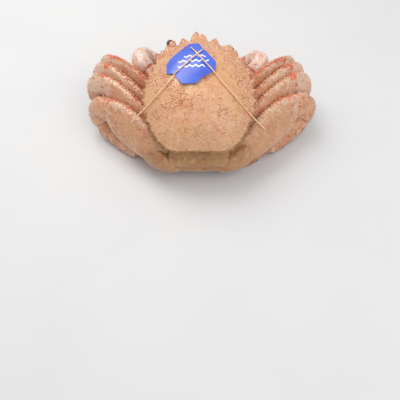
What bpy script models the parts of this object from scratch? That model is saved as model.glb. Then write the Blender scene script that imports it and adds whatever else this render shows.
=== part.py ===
"""A horsehair crab, life size, folded up as it is packed after boiling, with a tag held on by an elastic.

+X is the crab's right side, +Y its front, +Z up. The origin is on the floor, under the middle of its box. The
tables are in millimetres, and MM turns them into metres. Limbs are given for the right side, and the left one
mirrors them, moved by the small amounts in LEFT_MOVES.
"""

import math
import random

import bmesh
import bpy
from mathutils import Matrix, Vector
from mathutils.geometry import intersect_point_line

MM = 0.001
GAP = 0.3
SEED = 11

# The middle of the crab's box on the floor, in the frame that the tables use.
BOX_MIDDLE = (2.1, -2.0)

# The body has its own frame: x right, y towards the rostrum, z up from the plane of the shell's edge.
BODY_CENTRE = Vector((1.0, -8.9, 59.6))
BODY_TILT = math.radians(19)

# The shell's edge, as (degrees from the front, distance from the pole), the same on both sides.
SHELL_POLE_Y = -4.0
SHELL_EDGE = (
    (0, 54.2), (11, 52.8), (23, 50.2), (35, 49.8), (46, 48.2), (60, 46.4), (74, 45.8), (88, 46.0),
    (102, 47.4), (115, 48.4), (126, 49.4), (137, 51.2), (148, 53.0), (156, 53.4), (165, 52.0), (173, 50.6),
    (180, 50.3),
)
SHELL_DOME = 20.5
SHELL_DOME_POWER = 2.6
SHELL_SIDES = 56
SHELL_LEVELS = (0.985, 0.94, 0.85, 0.72, 0.55, 0.36, 0.16)
SHELL_BAND = ((0.955, -2.6), (0.90, -5.2))

# The front's teeth, as root and tip (x, y, z) in the body's frame, and the root's half width and half height.
FRONT_TEETH = (
    ((3.6, 43.0, -0.4), (4.0, 55.2, 1.2), 4.4, 3.0), ((12.6, 38.0, -0.2), (14.6, 50.4, 0.9), 5.8, 3.2),
    ((29.6, 27.0, -0.2), (33.4, 38.4, 1.0), 5.4, 3.2), ((24.2, 34.0, 0.0), (27.8, 42.6, 0.9), 5.2, 3.0),
)
# Teeth down the shell's side, as (degrees from the front, length, half width).
SIDE_TEETH = (
    (49, 4.6, 2.4), (57, 5.0, 2.5), (66, 5.2, 2.6), (76, 5.0, 2.5), (86, 4.4, 2.3), (97, 3.6, 2.0),
    (108, 3.0, 1.8), (119, 2.6, 1.6), (130, 2.4, 1.5), (141, 2.2, 1.4), (151, 2.0, 1.3),
)
TUBERCLE_COUNT = 78
TUBERCLE_SIZE = (1.3, 1.9)
SPINE_HALF_WIDTH = 0.95
SPINE_SUNK = 1.3
SPINE_LEAN = 0.35
CLEAR_OF_TAG = 2.6
CLEAR_OF_ELASTIC = 2.4

ORBIT = Vector((25.0, 42.5, -2.6))
ORBIT_RADIUS = 5.2
EYE_STATIONS = (
    (23.4, 37.6, -3.0, 2.0), (24.6, 41.4, -2.6, 2.2), (25.3, 44.2, -2.2, 3.1), (26.0, 47.4, -1.7, 3.7),
    (26.6, 50.2, -1.3, 2.7),
)
EYE_TIP = (26.9, 51.7, -1.1)
RIGHT_EYE_LEAN = (2.4, -9.0, -4.4)
ANTENNA_STATIONS = (
    (15.6, 38.2, -5.4, 1.8), (16.4, 42.6, -6.4, 1.6), (17.4, 46.6, -8.6, 1.1), (19.0, 50.4, -12.4, 0.7),
)
ANTENNA_TIP = (20.6, 52.6, -18.0)
ANTENNULE_STATIONS = ((5.4, 40.0, -4.6, 1.5), (5.8, 44.0, -6.0, 1.2), (6.6, 46.2, -9.0, 0.7))
ANTENNULE_TIP = (7.6, 46.4, -13.0)
MAXILLIPED_STATIONS = (
    (5.9, 35.2, -8.6, 4.6, 1.5), (5.9, 32.6, -13.6, 5.2, 1.8), (5.8, 28.4, -20.4, 5.0, 1.9),
    (5.7, 23.6, -27.4, 4.2, 1.6), (5.6, 20.6, -31.4, 3.0, 1.2),
)

# The body below the shell, as (share of the shell's edge across, share along, shift along, height).
THORAX_RINGS = (
    (0.87, 0.84, -2.0, -5.5), (0.86, 0.84, -3.0, -12.0), (0.76, 0.79, -6.0, -20.0), (0.62, 0.72, -9.0, -27.0),
    (0.50, 0.66, -12.0, -30.5),
)
THORAX_SIDES = 28

# The abdomen's flap, as (y, z of its middle, half width, half thickness) in the body's frame.
ABDOMEN_RINGS = (
    (-48.5, -6.9, 20.5, 1.5), (-54.5, -10.5, 23.5, 2.6), (-59.2, -19.0, 24.0, 3.4), (-58.6, -28.0, 22.0, 3.6),
    (-51.5, -34.2, 16.5, 3.2), (-38.0, -35.2, 11.0, 2.4), (-22.0, -34.4, 8.0, 2.0), (-6.0, -33.4, 3.0, 1.3),
)

# Each walking leg is folded in a plane of its own, which holds a level line at LEG_HEADING and leans by lean.
# along runs out along that line, aside runs forward across it, and height runs up in the leaning plane.
LEG_HEADING = math.radians(41)
LEGS = {
    "leg2": {"aside": -23.0, "level": 46.0, "lean": 6, "start": 40, "end": 80, "low": -4.5, "rise": 3.0,
             "thick": 4.6, "tall": 9.6, "joint": 9.6, "drop": 0.92, "hip": (27, 3, -12)},
    "leg3": {"aside": -33.2, "level": 43.5, "lean": 12, "start": 31, "end": 79, "low": -4.5, "rise": 2.5,
             "thick": 4.7, "tall": 10.2, "joint": 10.2, "drop": 0.92, "hip": (16, 2, -13)},
    "leg4": {"aside": -43.8, "level": 41.0, "lean": 20, "start": 22, "end": 76, "low": -4.5, "rise": 2.0,
             "thick": 5.0, "tall": 10.8, "joint": 10.6, "drop": 0.90, "hip": (3, 1, -14)},
    "leg5": {"aside": -58.0, "level": 37.0, "lean": 33, "start": 6, "end": 64, "low": -8.4, "rise": -2.2,
             "thick": 6.2, "tall": 15.4, "joint": 11.4, "drop": 0.92, "hip": (-15, 10, -15)},
}
# How far each leg's end is tucked in under its merus: forward, level with the floor, and down.
LEG_TUCK = {"leg2": (0.0, 0.0), "leg3": (0.0, 0.0), "leg4": (0.0, 0.0), "leg5": (8.6, 1.7)}
TUCK_DEPTH = 31.0
LEFT_MOVES = {
    "leg2": (2.5, 1.6, -1.0, 0), "leg3": (0.5, 1.2, -1.5, 0), "leg4": (-2.0, 0.6, -1.0, 0),
    "leg5": (-8.0, 1.4, -1.0, -4),
}

# Stations from the knee on, as (along, aside, height from the knee, degrees of heading below level,
# thickness share, half height). A new list starts a new segment of the leg.
CARPUS_STATIONS = (
    (0.0, 0.0, 0.0, 25, 0.96, 9.2), (6.5, 0.0, -3.2, 50, 1.0, 9.8), (11.5, 0.0, -10.0, 85, 0.99, 9.4),
    (10.8, 0.0, -17.0, 115, 0.94, 8.2), (6.0, 0.0, -22.2, 142, 0.84, 6.8),
)
PROPODUS_STATIONS = (
    (6.0, 0.0, -22.2, 142, 0.80, 6.4), (-1.0, 0.0, -25.8, 163, 0.88, 6.9),
    (-13.0, 0.6, -27.8, 172, 0.88, 6.9), (-26.0, 1.4, -29.4, 172, 0.80, 6.6),
    (-36.0, 2.4, -31.0, 165, 0.70, 5.0),
)
# The dactyl, as (along, aside, height above the floor, degrees below level, half width, half height). Its
# first height is that of the propodus' end.
DACTYL_STATIONS = (
    (-36.0, 2.4, None, 162, 3.0, 4.4), (-42.5, 4.6, 9.2, 150, 3.1, 4.3), (-50.0, 7.6, 4.8, 163, 2.8, 3.8),
    (-57.5, 10.8, 2.6, 176, 2.3, 3.2), (-64.5, 14.0, 2.2, 184, 1.7, 2.3),
)
DACTYL_TIP = (-72.5, 17.5, 2.6)

# The claw, as (x, y, z, half thickness, half height) in the crab's frame. CLAW_MOVES shifts each side's.
CLAW_MERUS = (
    (31.0, 13.0, 39.0, 6.0, 7.6), (37.0, 19.0, 41.0, 7.0, 8.8), (44.0, 25.0, 43.5, 7.4, 9.4),
    (49.0, 29.5, 45.0, 7.2, 9.2),
)
CLAW_CARPUS = (
    (49.0, 29.5, 45.0, 8.0, 9.8), (53.6, 33.0, 47.2, 8.4, 11.8), (56.8, 39.4, 47.4, 8.2, 12.8),
    (54.8, 46.8, 43.8, 8.0, 12.0), (47.8, 48.8, 39.4, 7.4, 10.2),
)
CLAW_PALM = (
    (47.8, 48.8, 39.4, 7.4, 9.6), (41.0, 49.0, 33.6, 8.6, 11.4), (33.0, 48.6, 26.6, 8.8, 12.0),
    (25.0, 47.6, 20.4, 8.0, 11.2), (20.0, 46.6, 16.8, 6.6, 9.0),
)
CLAW_FIXED_FINGER = (
    (24.0, 47.2, 15.6, 5.6, 6.6), (15.0, 45.2, 8.2, 4.4, 4.8), (8.0, 43.6, 3.2, 3.0, 3.4),
    (3.6, 42.6, 2.2, 1.6, 1.7),
)
CLAW_FIXED_TIP = (2.2, 42.2, 2.8)
CLAW_FINGER = (
    (18.9, 46.4, 24.8, 4.8, 5.0), (13.6, 45.2, 20.6, 4.2, 4.4), (8.4, 43.8, 15.0, 3.1, 3.4),
    (5.0, 42.8, 10.4, 1.8, 2.0),
)
CLAW_FINGER_TIP = (3.8, 42.3, 7.4)
CLAW_MOVES = {1: (0.7, 0.3, -3.2), -1: (-3.6, 0.5, 0.5)}

# The tag's outline on the dome, and the elastic's two strands, as (x, y) in the body's frame.
TAG_OUTLINE = (
    (-8.4, 37.4), (-0.4, 37.4), (2.6, 31.0), (13.6, 16.2), (13.2, 8.0), (8.6, 4.4), (2.0, 0.2),
    (-2.4, -5.0), (-14.2, -4.8), (-18.4, 1.6), (-20.4, 5.0), (-26.6, 6.6), (-27.0, 15.8), (-24.4, 21.2),
)
TAG_THICK = 0.6
TAG_STEP = 3.0
ELASTIC_RADIUS = 0.65
ELASTIC_SIDES = 6
ELASTIC_KNOT = (-1.6, 22.8)
ELASTIC_LEFT = ((-10.6, 13.3), (-18.9, 5.6), (-24.4, -1.6), (-33.0, -9.8), (-40.6, -14.8), (-44.6, -17.0))
ELASTIC_RIGHT = (
    (4.7, 14.2), (11.9, 6.1), (18.3, -2.6), (24.8, -9.6), (31.4, -15.8), (37.6, -20.4), (42.0, -23.0),
)
ELASTIC_TAILS = ((-7.0, 31.4), (2.8, 27.6))
# Past the shell, the strands run straight on to these places on the last legs, in the crab's frame.
ELASTIC_LEFT_END = Vector((-56.9, -29.4, 42.7))
ELASTIC_RIGHT_END = Vector((56.3, -34.9, 40.8))


def body_frame():
    """The matrix from the body's frame, in millimetres, to the crab's."""
    return Matrix.Translation(BODY_CENTRE) @ Matrix.Rotation(BODY_TILT, 4, "X")


def shell_edge(angle):
    """Distance from the pole to the shell's edge, in the direction that lies angle radians from the front."""
    degrees = abs(math.degrees(math.atan2(math.sin(angle), math.cos(angle))))
    first, last = SHELL_EDGE[1], SHELL_EDGE[-2]
    mirrored = [(-first[0], first[1]), *SHELL_EDGE, (360 - last[0], last[1])]
    for (a0, r0), (a1, r1), (a2, r2), (a3, r3) in zip(mirrored, mirrored[1:], mirrored[2:], mirrored[3:]):
        if a1 <= degrees <= a2:
            t = (degrees - a1) / (a2 - a1)
            slope1 = (r2 - r0) / (a2 - a0) * (a2 - a1)
            slope2 = (r3 - r1) / (a3 - a1) * (a2 - a1)
            return (
                (2 * t**3 - 3 * t**2 + 1) * r1 + (t**3 - 2 * t**2 + t) * slope1
                + (3 * t**2 - 2 * t**3) * r2 + (t**3 - t**2) * slope2
            )
    return SHELL_EDGE[-1][1]


def shell_height(x, y):
    """Height of the shell's dome over the plane of its edge, in the body's frame."""
    share = math.hypot(x, y - SHELL_POLE_Y) / shell_edge(math.atan2(x, y - SHELL_POLE_Y))
    return SHELL_DOME * (1 - min(share, 1.0) ** SHELL_DOME_POWER)


def shell_ring(across, along, shift, height, sides):
    """One loop of the body: the shell's edge scaled across and along, at a height, or on the dome for None."""
    points = []
    for k in range(sides):
        angle = 2 * math.pi * (k + 0.5) / sides
        reach = shell_edge(angle)
        x, y = across * reach * math.sin(angle), SHELL_POLE_Y + along * reach * math.cos(angle) + shift
        points.append(Vector((x, y, shell_height(x, y) if height is None else height)))
    return points


LIMB_SIDES = 10


def corner(station, k, sides=LIMB_SIDES, fullness=0.8):
    """Corner k of a limb's loop at a station (centre, across, upward, half width, half height), 0 on top."""
    centre, across, upward, half_width, half_height = station
    angle = 2 * math.pi * k / sides
    side, rise = math.sin(angle), math.cos(angle)
    reach = math.copysign(half_width * abs(side) ** fullness, side)
    return centre + across * reach + upward * half_height * rise


def section(station, sides=LIMB_SIDES, fullness=0.8):
    """One loop of a limb, an oval with a corner on its upper ridge."""
    return [corner(station, k, sides, fullness) for k in range(sides)]


def loft(rings, tip=None):
    """A closed mesh through loops of equally many points, by extruding a face from each loop to the next."""
    shape = bmesh.new()
    face = shape.faces.new([shape.verts.new(point) for point in rings[0]])
    for ring in rings[1:]:
        face = bmesh.ops.extrude_discrete_faces(shape, faces=[face])["faces"][0]
        for vert, point in zip(face.verts, ring):
            vert.co = point
    bmesh.ops.holes_fill(shape, edges=[edge for edge in shape.edges if edge.is_boundary])
    if tip is not None:
        bmesh.ops.poke(shape, faces=[face])["verts"][0].co = tip
    bmesh.ops.recalc_face_normals(shape, faces=shape.faces)
    return shape


def drop_scraps(mesh):
    """Keeps only the largest closed surface of a mesh."""
    shape = bmesh.new()
    shape.from_mesh(mesh)
    left = set(shape.verts)
    islands = []
    while left:
        island = {left.pop()}
        edge_of_island = list(island)
        while edge_of_island:
            vert = edge_of_island.pop()
            for edge in vert.link_edges:
                other = edge.other_vert(vert)
                if other in left:
                    left.discard(other)
                    island.add(other)
                    edge_of_island.append(other)
        islands.append(island)
    islands.sort(key=len, reverse=True)
    for island in islands[1:]:
        bmesh.ops.delete(shape, geom=list(island), context="VERTS")
    shape.to_mesh(mesh)
    shape.free()


def combine(made, pieces, operation, solver="EXACT"):
    """Joins pieces to an object, or cuts them out of it, in one Boolean, and removes them."""
    group = bpy.data.collections.new(f"{made.name}_pieces")
    bpy.context.scene.collection.children.link(group)
    for piece in pieces:
        for holder in list(piece.users_collection):
            holder.objects.unlink(piece)
        group.objects.link(piece)
    change = made.modifiers.new("pieces", "BOOLEAN")
    change.operation = operation
    change.operand_type = "COLLECTION"
    change.collection = group
    change.solver = solver
    bpy.context.view_layer.update()
    graph = bpy.context.evaluated_depsgraph_get()
    whole = bpy.data.meshes.new_from_object(made.evaluated_get(graph))
    made.modifiers.clear()
    made.data = whole
    for piece in list(group.objects):
        bpy.data.objects.remove(piece)
    bpy.data.collections.remove(group)
    drop_scraps(whole)


def swollen(made, grow):
    """A copy of an object, a little larger all round, for cutting the seat that it sits in."""
    shape = bmesh.new()
    shape.from_mesh(made.data)
    shape.normal_update()
    moves = [(vert, vert.normal * grow * MM) for vert in shape.verts]
    for vert, move in moves:
        vert.co += move
    mesh = bpy.data.meshes.new(f"{made.name}_seat")
    shape.to_mesh(mesh)
    shape.free()
    copy = bpy.data.objects.new(f"{made.name}_seat", mesh)
    bpy.context.scene.collection.objects.link(copy)
    return copy


def cut_flat(shape, floor=0.0):
    """Takes off what is below the floor, which leaves a small flat to stand on."""
    geometry = shape.verts[:] + shape.edges[:] + shape.faces[:]
    bmesh.ops.bisect_plane(shape, geom=geometry, plane_co=(0, 0, floor), plane_no=(0, 0, 1), clear_inner=True)
    bmesh.ops.holes_fill(shape, edges=[edge for edge in shape.edges if edge.is_boundary])
    bmesh.ops.recalc_face_normals(shape, faces=shape.faces)


def add_object(name, shape, colour, side=1):
    """Links a mesh in millimetres to the scene, as a named object in metres, mirrored where side is -1."""
    place = Matrix.Diagonal((side * MM, MM, MM, 1.0))
    middle = Matrix.Translation((-BOX_MIDDLE[0] * MM, -BOX_MIDDLE[1] * MM, 0.0))
    bmesh.ops.transform(shape, matrix=middle @ place, verts=shape.verts)
    if side < 0:
        bmesh.ops.reverse_faces(shape, faces=shape.faces)
    bmesh.ops.recalc_face_normals(shape, faces=shape.faces)
    for face in shape.faces:
        face.smooth = True
    mesh = bpy.data.meshes.new(name)
    shape.to_mesh(mesh)
    shape.free()
    material = bpy.data.materials.new(name)
    material.use_nodes = True
    finish = material.node_tree.nodes["Principled BSDF"]
    finish.inputs["Base Color"].default_value = (*colour, 1.0)
    finish.inputs["Roughness"].default_value = 0.5
    mesh.materials.append(material)
    made = bpy.data.objects.new(name, mesh)
    bpy.context.scene.collection.objects.link(made)
    return made


def leg_axes(leg):
    """The leg's three directions: out along it, aside across its leaning plane, and up in that plane."""
    out = Vector((math.cos(LEG_HEADING), math.sin(LEG_HEADING), 0.0))
    forward = Vector((-math.sin(LEG_HEADING), math.cos(LEG_HEADING), 0.0))
    lean = math.radians(leg["lean"])
    up = forward * math.sin(lean) + Vector((0, 0, math.cos(lean)))
    return out, forward * math.cos(lean) - Vector((0, 0, math.sin(lean))), up


def leg_point(leg, along, aside, height):
    """A point of the leg's plane, in the crab's frame."""
    out, across, up = leg_axes(leg)
    forward = Vector((-out.y, out.x, 0.0))
    return out * along + forward * leg["aside"] + Vector((0, 0, leg["level"])) + across * aside + up * height


def leg_station(leg, centre, degrees, half_width, half_height):
    """A station of the leg, where it heads this many degrees below level in its own plane."""
    out, across, up = leg_axes(leg)
    turn = math.radians(degrees)
    return centre, across, out * math.sin(turn) + up * math.cos(turn), half_width, half_height


def heading(leg, degrees):
    """The unit direction that lies this many degrees below level in the leg's plane."""
    out, _, up = leg_axes(leg)
    turn = math.radians(degrees)
    return out * math.cos(turn) - up * math.sin(turn)


def moved(leg, side, name):
    """The leg's values for one side."""
    if side > 0:
        return leg
    along, aside, level, lean = LEFT_MOVES[name]
    return {
        **leg, "start": leg["start"] + along, "end": leg["end"] + along, "aside": leg["aside"] + aside,
        "level": leg["level"] + level, "lean": leg["lean"] + lean,
    }


def spine(root, direction, length, half_width):
    """A small four-sided spine, with its root sunk below the surface point it grows from."""
    direction = direction.normalized()
    depth = SPINE_SUNK + length
    turn = direction.to_track_quat("Z", "Y").to_matrix().to_4x4()
    place = Matrix.Translation(root + direction * (length - depth / 2)) @ turn
    shape = bmesh.new()
    wide = half_width * depth / length
    bmesh.ops.create_cone(shape, cap_ends=True, segments=4, radius1=wide, radius2=0, depth=depth, matrix=place)
    return shape


def spine_row(stations, k, first, last, count, length, dice):
    """Spines along one corner line of a limb, between two places counted in stations."""
    made = []
    for n in range(count):
        place = first + (last - first) * (n + 0.5 + dice.uniform(-0.16, 0.16)) / count
        base = min(int(place), len(stations) - 2)
        low, high = stations[base], stations[base + 1]
        root = corner(low, k).lerp(corner(high, k), place - base)
        centre = low[0].lerp(high[0], place - base)
        along = (high[0] - low[0]).normalized()
        size = length * dice.uniform(0.8, 1.15)
        made.append(spine(root, (root - centre).normalized() + along * SPINE_LEAN, size, SPINE_HALF_WIDTH))
    return made


def add_limb(name, stations, spines, colour, side):
    """Adds a limb's segment, with its spines fused to it."""
    made = add_object(name, loft([section(station) for station in stations]), colour, side)
    if spines:
        pieces = [add_object("spine", shape, colour, side) for shape in spines]
        combine(made, pieces, "UNION")
    return made


def walking_leg(name, leg, side, dice):
    """The four segments of a folded walking leg, from the hip to the dactyl's tip."""
    suffix = "_r" if side > 0 else "_l"
    start, end, rise = leg["start"], leg["end"], leg["rise"]
    thick, tall = leg["thick"], leg["tall"]
    hip_along, hip_aside, hip_height = leg["hip"]
    low, joint, drop = leg["low"], leg["joint"], leg["drop"]
    climb = -math.degrees(math.atan2(rise - low, end - start))
    base_climb = -math.degrees(math.atan2(low - hip_height, start - hip_along))
    knee_degrees = CARPUS_STATIONS[0][3]

    hip = leg_point(leg, hip_along, hip_aside, hip_height)
    middle = leg_point(leg, (hip_along + start) / 2, hip_aside * 0.55, (hip_height + low) / 2 - 0.5)
    merus = [
        leg_station(leg, hip, base_climb, thick * 0.95, tall * 0.62),
        leg_station(leg, middle, base_climb, thick * 1.02, tall * 0.70),
        leg_station(leg, leg_point(leg, start, 0, low), (base_climb + climb) / 2, thick, tall * 0.84),
    ]
    for share, grow in ((0.35, 0.98), (0.7, 1.0)):
        centre = leg_point(leg, start + (end - start) * share, 0, low + (rise - low) * share)
        merus.append(leg_station(leg, centre, climb, thick, tall * grow))
    merus.append(leg_station(leg, leg_point(leg, end, 0, rise), knee_degrees, thick * 0.96, joint * 0.93))
    knobs = spine_row(merus, 0, 2.3, 4.9, 8, 2.1, dice)
    knobs += spine_row(merus, LIMB_SIDES - 1, 2.6, 4.9, 5, 1.5, dice)
    add_limb(f"{name}_merus{suffix}", merus, knobs, (0.62, 0.35, 0.22), side)

    def beyond_knee(along, aside, height):
        """A point beyond the knee, tucked in as far as its height asks."""
        forward, down = LEG_TUCK[name]
        share = (-height / TUCK_DEPTH) ** 1.5
        level = Vector((-math.sin(LEG_HEADING), math.cos(LEG_HEADING), 0.0))
        tuck = (level * forward - Vector((0, 0, down))) * share
        return leg_point(leg, end + along, aside, rise + height * drop) + tuck

    def from_knee(table):
        """The stations of a segment beyond the knee, the first one moved on by the joint's gap."""
        stations = []
        for along, aside, height, degrees, width, half_height in table:
            centre = beyond_knee(along, aside, height)
            if not stations:
                centre += heading(leg, degrees) * GAP
            stations.append(leg_station(leg, centre, degrees, thick * width, half_height * joint / 10))
        return stations

    carpus = from_knee(CARPUS_STATIONS)
    knobs = spine_row(carpus, 0, 0.3, 3.7, 5, 2.0, dice)
    knobs += spine_row(carpus, LIMB_SIDES - 1, 0.4, 3.4, 3, 1.6, dice)
    add_limb(f"{name}_carpus{suffix}", carpus, knobs, (0.66, 0.34, 0.20), side)
    propodus = from_knee(PROPODUS_STATIONS)
    knobs = spine_row(propodus, 0, 0.5, 3.6, 5, 1.5, dice)
    knobs += spine_row(propodus, 1, 0.7, 3.4, 3, 1.2, dice)
    add_limb(f"{name}_propodus{suffix}", propodus, knobs, (0.66, 0.37, 0.24), side)

    out = leg_axes(leg)[0]
    forward = Vector((-out.y, out.x, 0.0))
    along0, aside0, height0, degrees0, _, _ = PROPODUS_STATIONS[-1]
    propodus_end = beyond_knee(along0, aside0, height0)
    dactyl_start = propodus_end + heading(leg, degrees0) * GAP
    dactyl = [leg_station(leg, dactyl_start, degrees0, *DACTYL_STATIONS[0][-2:])]
    spread = 1 - LEG_TUCK[name][0] / (DACTYL_TIP[1] - aside0)
    for along, aside, height, degrees, half_width, half_height in DACTYL_STATIONS[1:]:
        centre = propodus_end + out * (along - along0) + forward * (aside - aside0) * spread
        centre.z = height
        dactyl.append(leg_station(leg, centre, degrees, half_width, half_height))
    along, aside, height = DACTYL_TIP
    tip = propodus_end + out * (along - along0) + forward * (aside - aside0) * spread
    tip.z = height
    shape = loft([section(station) for station in dactyl], tip)
    cut_flat(shape)
    add_object(f"{name}_dactyl{suffix}", shape, (0.60, 0.33, 0.20), side)


CHAIN_SIDES = 12


def stations_along(stations, before=None, after=None):
    """Limb stations from a chain of (x, y, z, half thickness, half height), each square to the chain there.

    before and after are the points that the chain comes from and goes on to, where it has any.
    """
    centres = [Vector(station[:3]) for station in stations]
    reach = [Vector(before) if before else centres[0], *centres, Vector(after) if after else centres[-1]]
    made = []
    for k, (centre, station) in enumerate(zip(centres, stations)):
        direction = (reach[k + 2] - reach[k]).normalized()
        across = direction.cross(Vector((0, 0, 1))).normalized()
        made.append((centre, across, across.cross(direction), station[3], station[4]))
    return made


def chain_loops(stations):
    """The loops of a chain of stations."""
    return [section(station, CHAIN_SIDES) for station in stations]


def chained(segments):
    """The stations of each segment of a limb. Two that meet share a joint's plane, and leave a gap there."""
    made = []
    for k, stations in enumerate(segments):
        before = segments[k - 1][-2][:3] if k else None
        after = segments[k + 1][1][:3] if k + 1 < len(segments) else None
        chain = stations_along(stations, before, after)
        if before:
            step = (Vector(stations[1][:3]) - Vector(before)).normalized() * GAP
            chain[0] = (chain[0][0] + step, *chain[0][1:])
        made.append(chain)
    return made


def shifted(stations, move):
    """The same stations, moved."""
    return [tuple(value + step for value, step in zip(station, move)) + station[3:] for station in stations]


def claw_spines(stations, rows, dice):
    """Spines over a claw's segment, in rows of (side of the loop's twelve, first, last, count, length)."""
    made = []
    for k, first, last, count, length in rows:
        for n in range(count):
            place = first + (last - first) * (n + 0.5 + dice.uniform(-0.2, 0.2)) / count
            base = min(int(place), len(stations) - 2)
            low, high = stations[base], stations[base + 1]
            share = place - base
            root = corner(low, k, CHAIN_SIDES).lerp(corner(high, k, CHAIN_SIDES), share)
            outward = root - low[0].lerp(high[0], share)
            along = (high[0] - low[0]).normalized()
            made.append(spine(root, outward.normalized() + along * 0.3, length * dice.uniform(0.8, 1.2), 1.0))
    return made


def claw(side, dice):
    """The folded claw: merus, carpus, palm with its fixed finger, and the movable finger."""
    suffix = "_r" if side > 0 else "_l"
    move = CLAW_MOVES[side]
    colour = (0.64, 0.36, 0.24)
    tables = (CLAW_MERUS, CLAW_CARPUS, CLAW_PALM)
    merus, carpus, palm = chained([shifted(stations, move) for stations in tables])
    add_object(f"claw_merus{suffix}", loft(chain_loops(merus)), colour, side)
    made = add_object(f"claw_carpus{suffix}", loft(chain_loops(carpus)), colour, side)
    rows = ((0, 0.4, 3.6, 4, 1.9), (11, 0.8, 3.6, 4, 1.8), (10, 1.0, 3.4, 3, 1.8), (1, 1.6, 3.6, 2, 1.6))
    spines = [add_object("spine", shape, colour, side) for shape in claw_spines(carpus, rows, dice)]
    combine(made, spines, "UNION")
    fixed = shifted(CLAW_FIXED_FINGER, (move[0], move[1], 0.0))
    level = Vector((move[0], move[1], 0.0))
    fixed = loft(chain_loops(stations_along(fixed)), Vector(CLAW_FIXED_TIP) + level)
    cut_flat(fixed)
    rows = ((0, 0.5, 3.4, 5, 1.7), (11, 0.5, 3.6, 5, 1.6), (9, 0.6, 3.6, 4, 1.3))
    pieces = [add_object("spine", shape, colour, side) for shape in claw_spines(palm, rows, dice)]
    pieces.append(add_object("fixed_finger", fixed, (0.16, 0.10, 0.08), side))
    palm = add_object(f"claw_palm{suffix}", loft(chain_loops(palm)), colour, side)
    combine(palm, pieces, "UNION")
    finger_stations = stations_along(shifted(CLAW_FINGER, (move[0], move[1], 0.0)))
    shape = loft(chain_loops(finger_stations), Vector(CLAW_FINGER_TIP) + level)
    finger = add_object(f"claw_finger{suffix}", shape, (0.16, 0.10, 0.08), side)
    combine(palm, [swollen(finger, 0.4)], "DIFFERENCE")


def in_body(shape):
    """Moves a mesh from the body's frame to the crab's."""
    bmesh.ops.transform(shape, matrix=body_frame(), verts=shape.verts)
    return shape


def leaning(stations, lean):
    """The same stations, with the last one moved by lean, the first one kept, and the others in between."""
    leant = []
    for k, station in enumerate(stations):
        share = k / (len(stations) - 1)
        leant.append(tuple(value + step * share for value, step in zip(station, lean)) + station[3:])
    return leant


def feeler(name, stations, tip, colour, side):
    """A round, tapering limb of the head, with (x, y, z, radius) at each station."""
    rings = chain_loops(stations_along([(*station, station[3]) for station in stations]))
    return add_object(name, in_body_side(loft(rings, Vector(tip)), side), colour)


def in_body_side(shape, side):
    """Mirrors a mesh of the body's frame where side is -1, and moves it to the crab's frame."""
    bmesh.ops.transform(shape, matrix=Matrix.Diagonal((side, 1, 1, 1)), verts=shape.verts)
    if side < 0:
        bmesh.ops.reverse_faces(shape, faces=shape.faces)
    return in_body(shape)


def head():
    """Eyes on their stalks, feelers and mouthparts."""
    for side, suffix in ((1, "_r"), (-1, "_l")):
        stations, tip = EYE_STATIONS, EYE_TIP
        if side > 0:
            *stations, tip = leaning((*EYE_STATIONS, EYE_TIP), RIGHT_EYE_LEAN)
        feeler(f"eye{suffix}", stations, tip, (0.07, 0.04, 0.03), side)
        feeler(f"antenna{suffix}", ANTENNA_STATIONS, ANTENNA_TIP, (0.62, 0.34, 0.20), side)
        feeler(f"antennule{suffix}", ANTENNULE_STATIONS, ANTENNULE_TIP, (0.62, 0.34, 0.20), side)
        across, upward = Vector((1, 0, 0)), Vector((0, 0.8, -0.6))
        rings = [section((Vector(row[:3]), across, upward, *row[3:])) for row in MAXILLIPED_STATIONS]
        add_object(f"maxilliped{suffix}", in_body_side(loft(rings), side), (0.68, 0.42, 0.28))


def tooth(root, tip, half_width, half_height):
    """A pointed, four-sided tooth in the body's frame."""
    root, tip = Vector(root), Vector(tip)
    direction = (tip - root).normalized()
    across = direction.cross(Vector((0, 0, 1))).normalized()
    upward = across.cross(direction)
    rings = []
    for share, size in ((0.0, 1.0), (0.55, 0.56)):
        centre = root.lerp(tip, share)
        side, rise = across * half_width * size, upward * half_height * size
        rings.append([centre + side, centre + rise, centre - side, centre - rise])
    return loft(rings, tip)


def near_path(point, path, reach):
    """Whether a point is within reach of a path of points."""
    for start, end in zip(path, path[1:]):
        share = intersect_point_line(point, start, end)[1]
        nearest = start.lerp(end, min(max(share, 0.0), 1.0))
        if (point - nearest).length < reach:
            return True
    return False


def inside(point, outline):
    """Whether a flat point is inside an outline of (x, y)."""
    odd = False
    for (x0, y0), (x1, y1) in zip(outline, (*outline[1:], outline[0])):
        if (y0 > point.y) != (y1 > point.y) and point.x < x0 + (x1 - x0) * (point.y - y0) / (y1 - y0):
            odd = not odd
    return odd


def is_free(point, reach=0.0):
    """Whether a place of the shell, in the body's frame, is clear of the tag and the elastic."""
    flat = Vector((point.x, point.y, 0.0))
    outline = [Vector((x, y, 0.0)) for x, y in (*TAG_OUTLINE, TAG_OUTLINE[0])]
    if inside(flat, TAG_OUTLINE) or near_path(flat, outline, CLEAR_OF_TAG):
        return False
    to_body = body_frame().inverted()
    for places, end in ((ELASTIC_LEFT, ELASTIC_LEFT_END), (ELASTIC_RIGHT, ELASTIC_RIGHT_END)):
        path = [Vector((x, y, 0.0)) for x, y in (ELASTIC_KNOT, *places)]
        last = to_body @ end
        if near_path(flat, [*path, Vector((last.x, last.y, 0.0))], CLEAR_OF_ELASTIC + reach):
            return False
    return True


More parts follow.
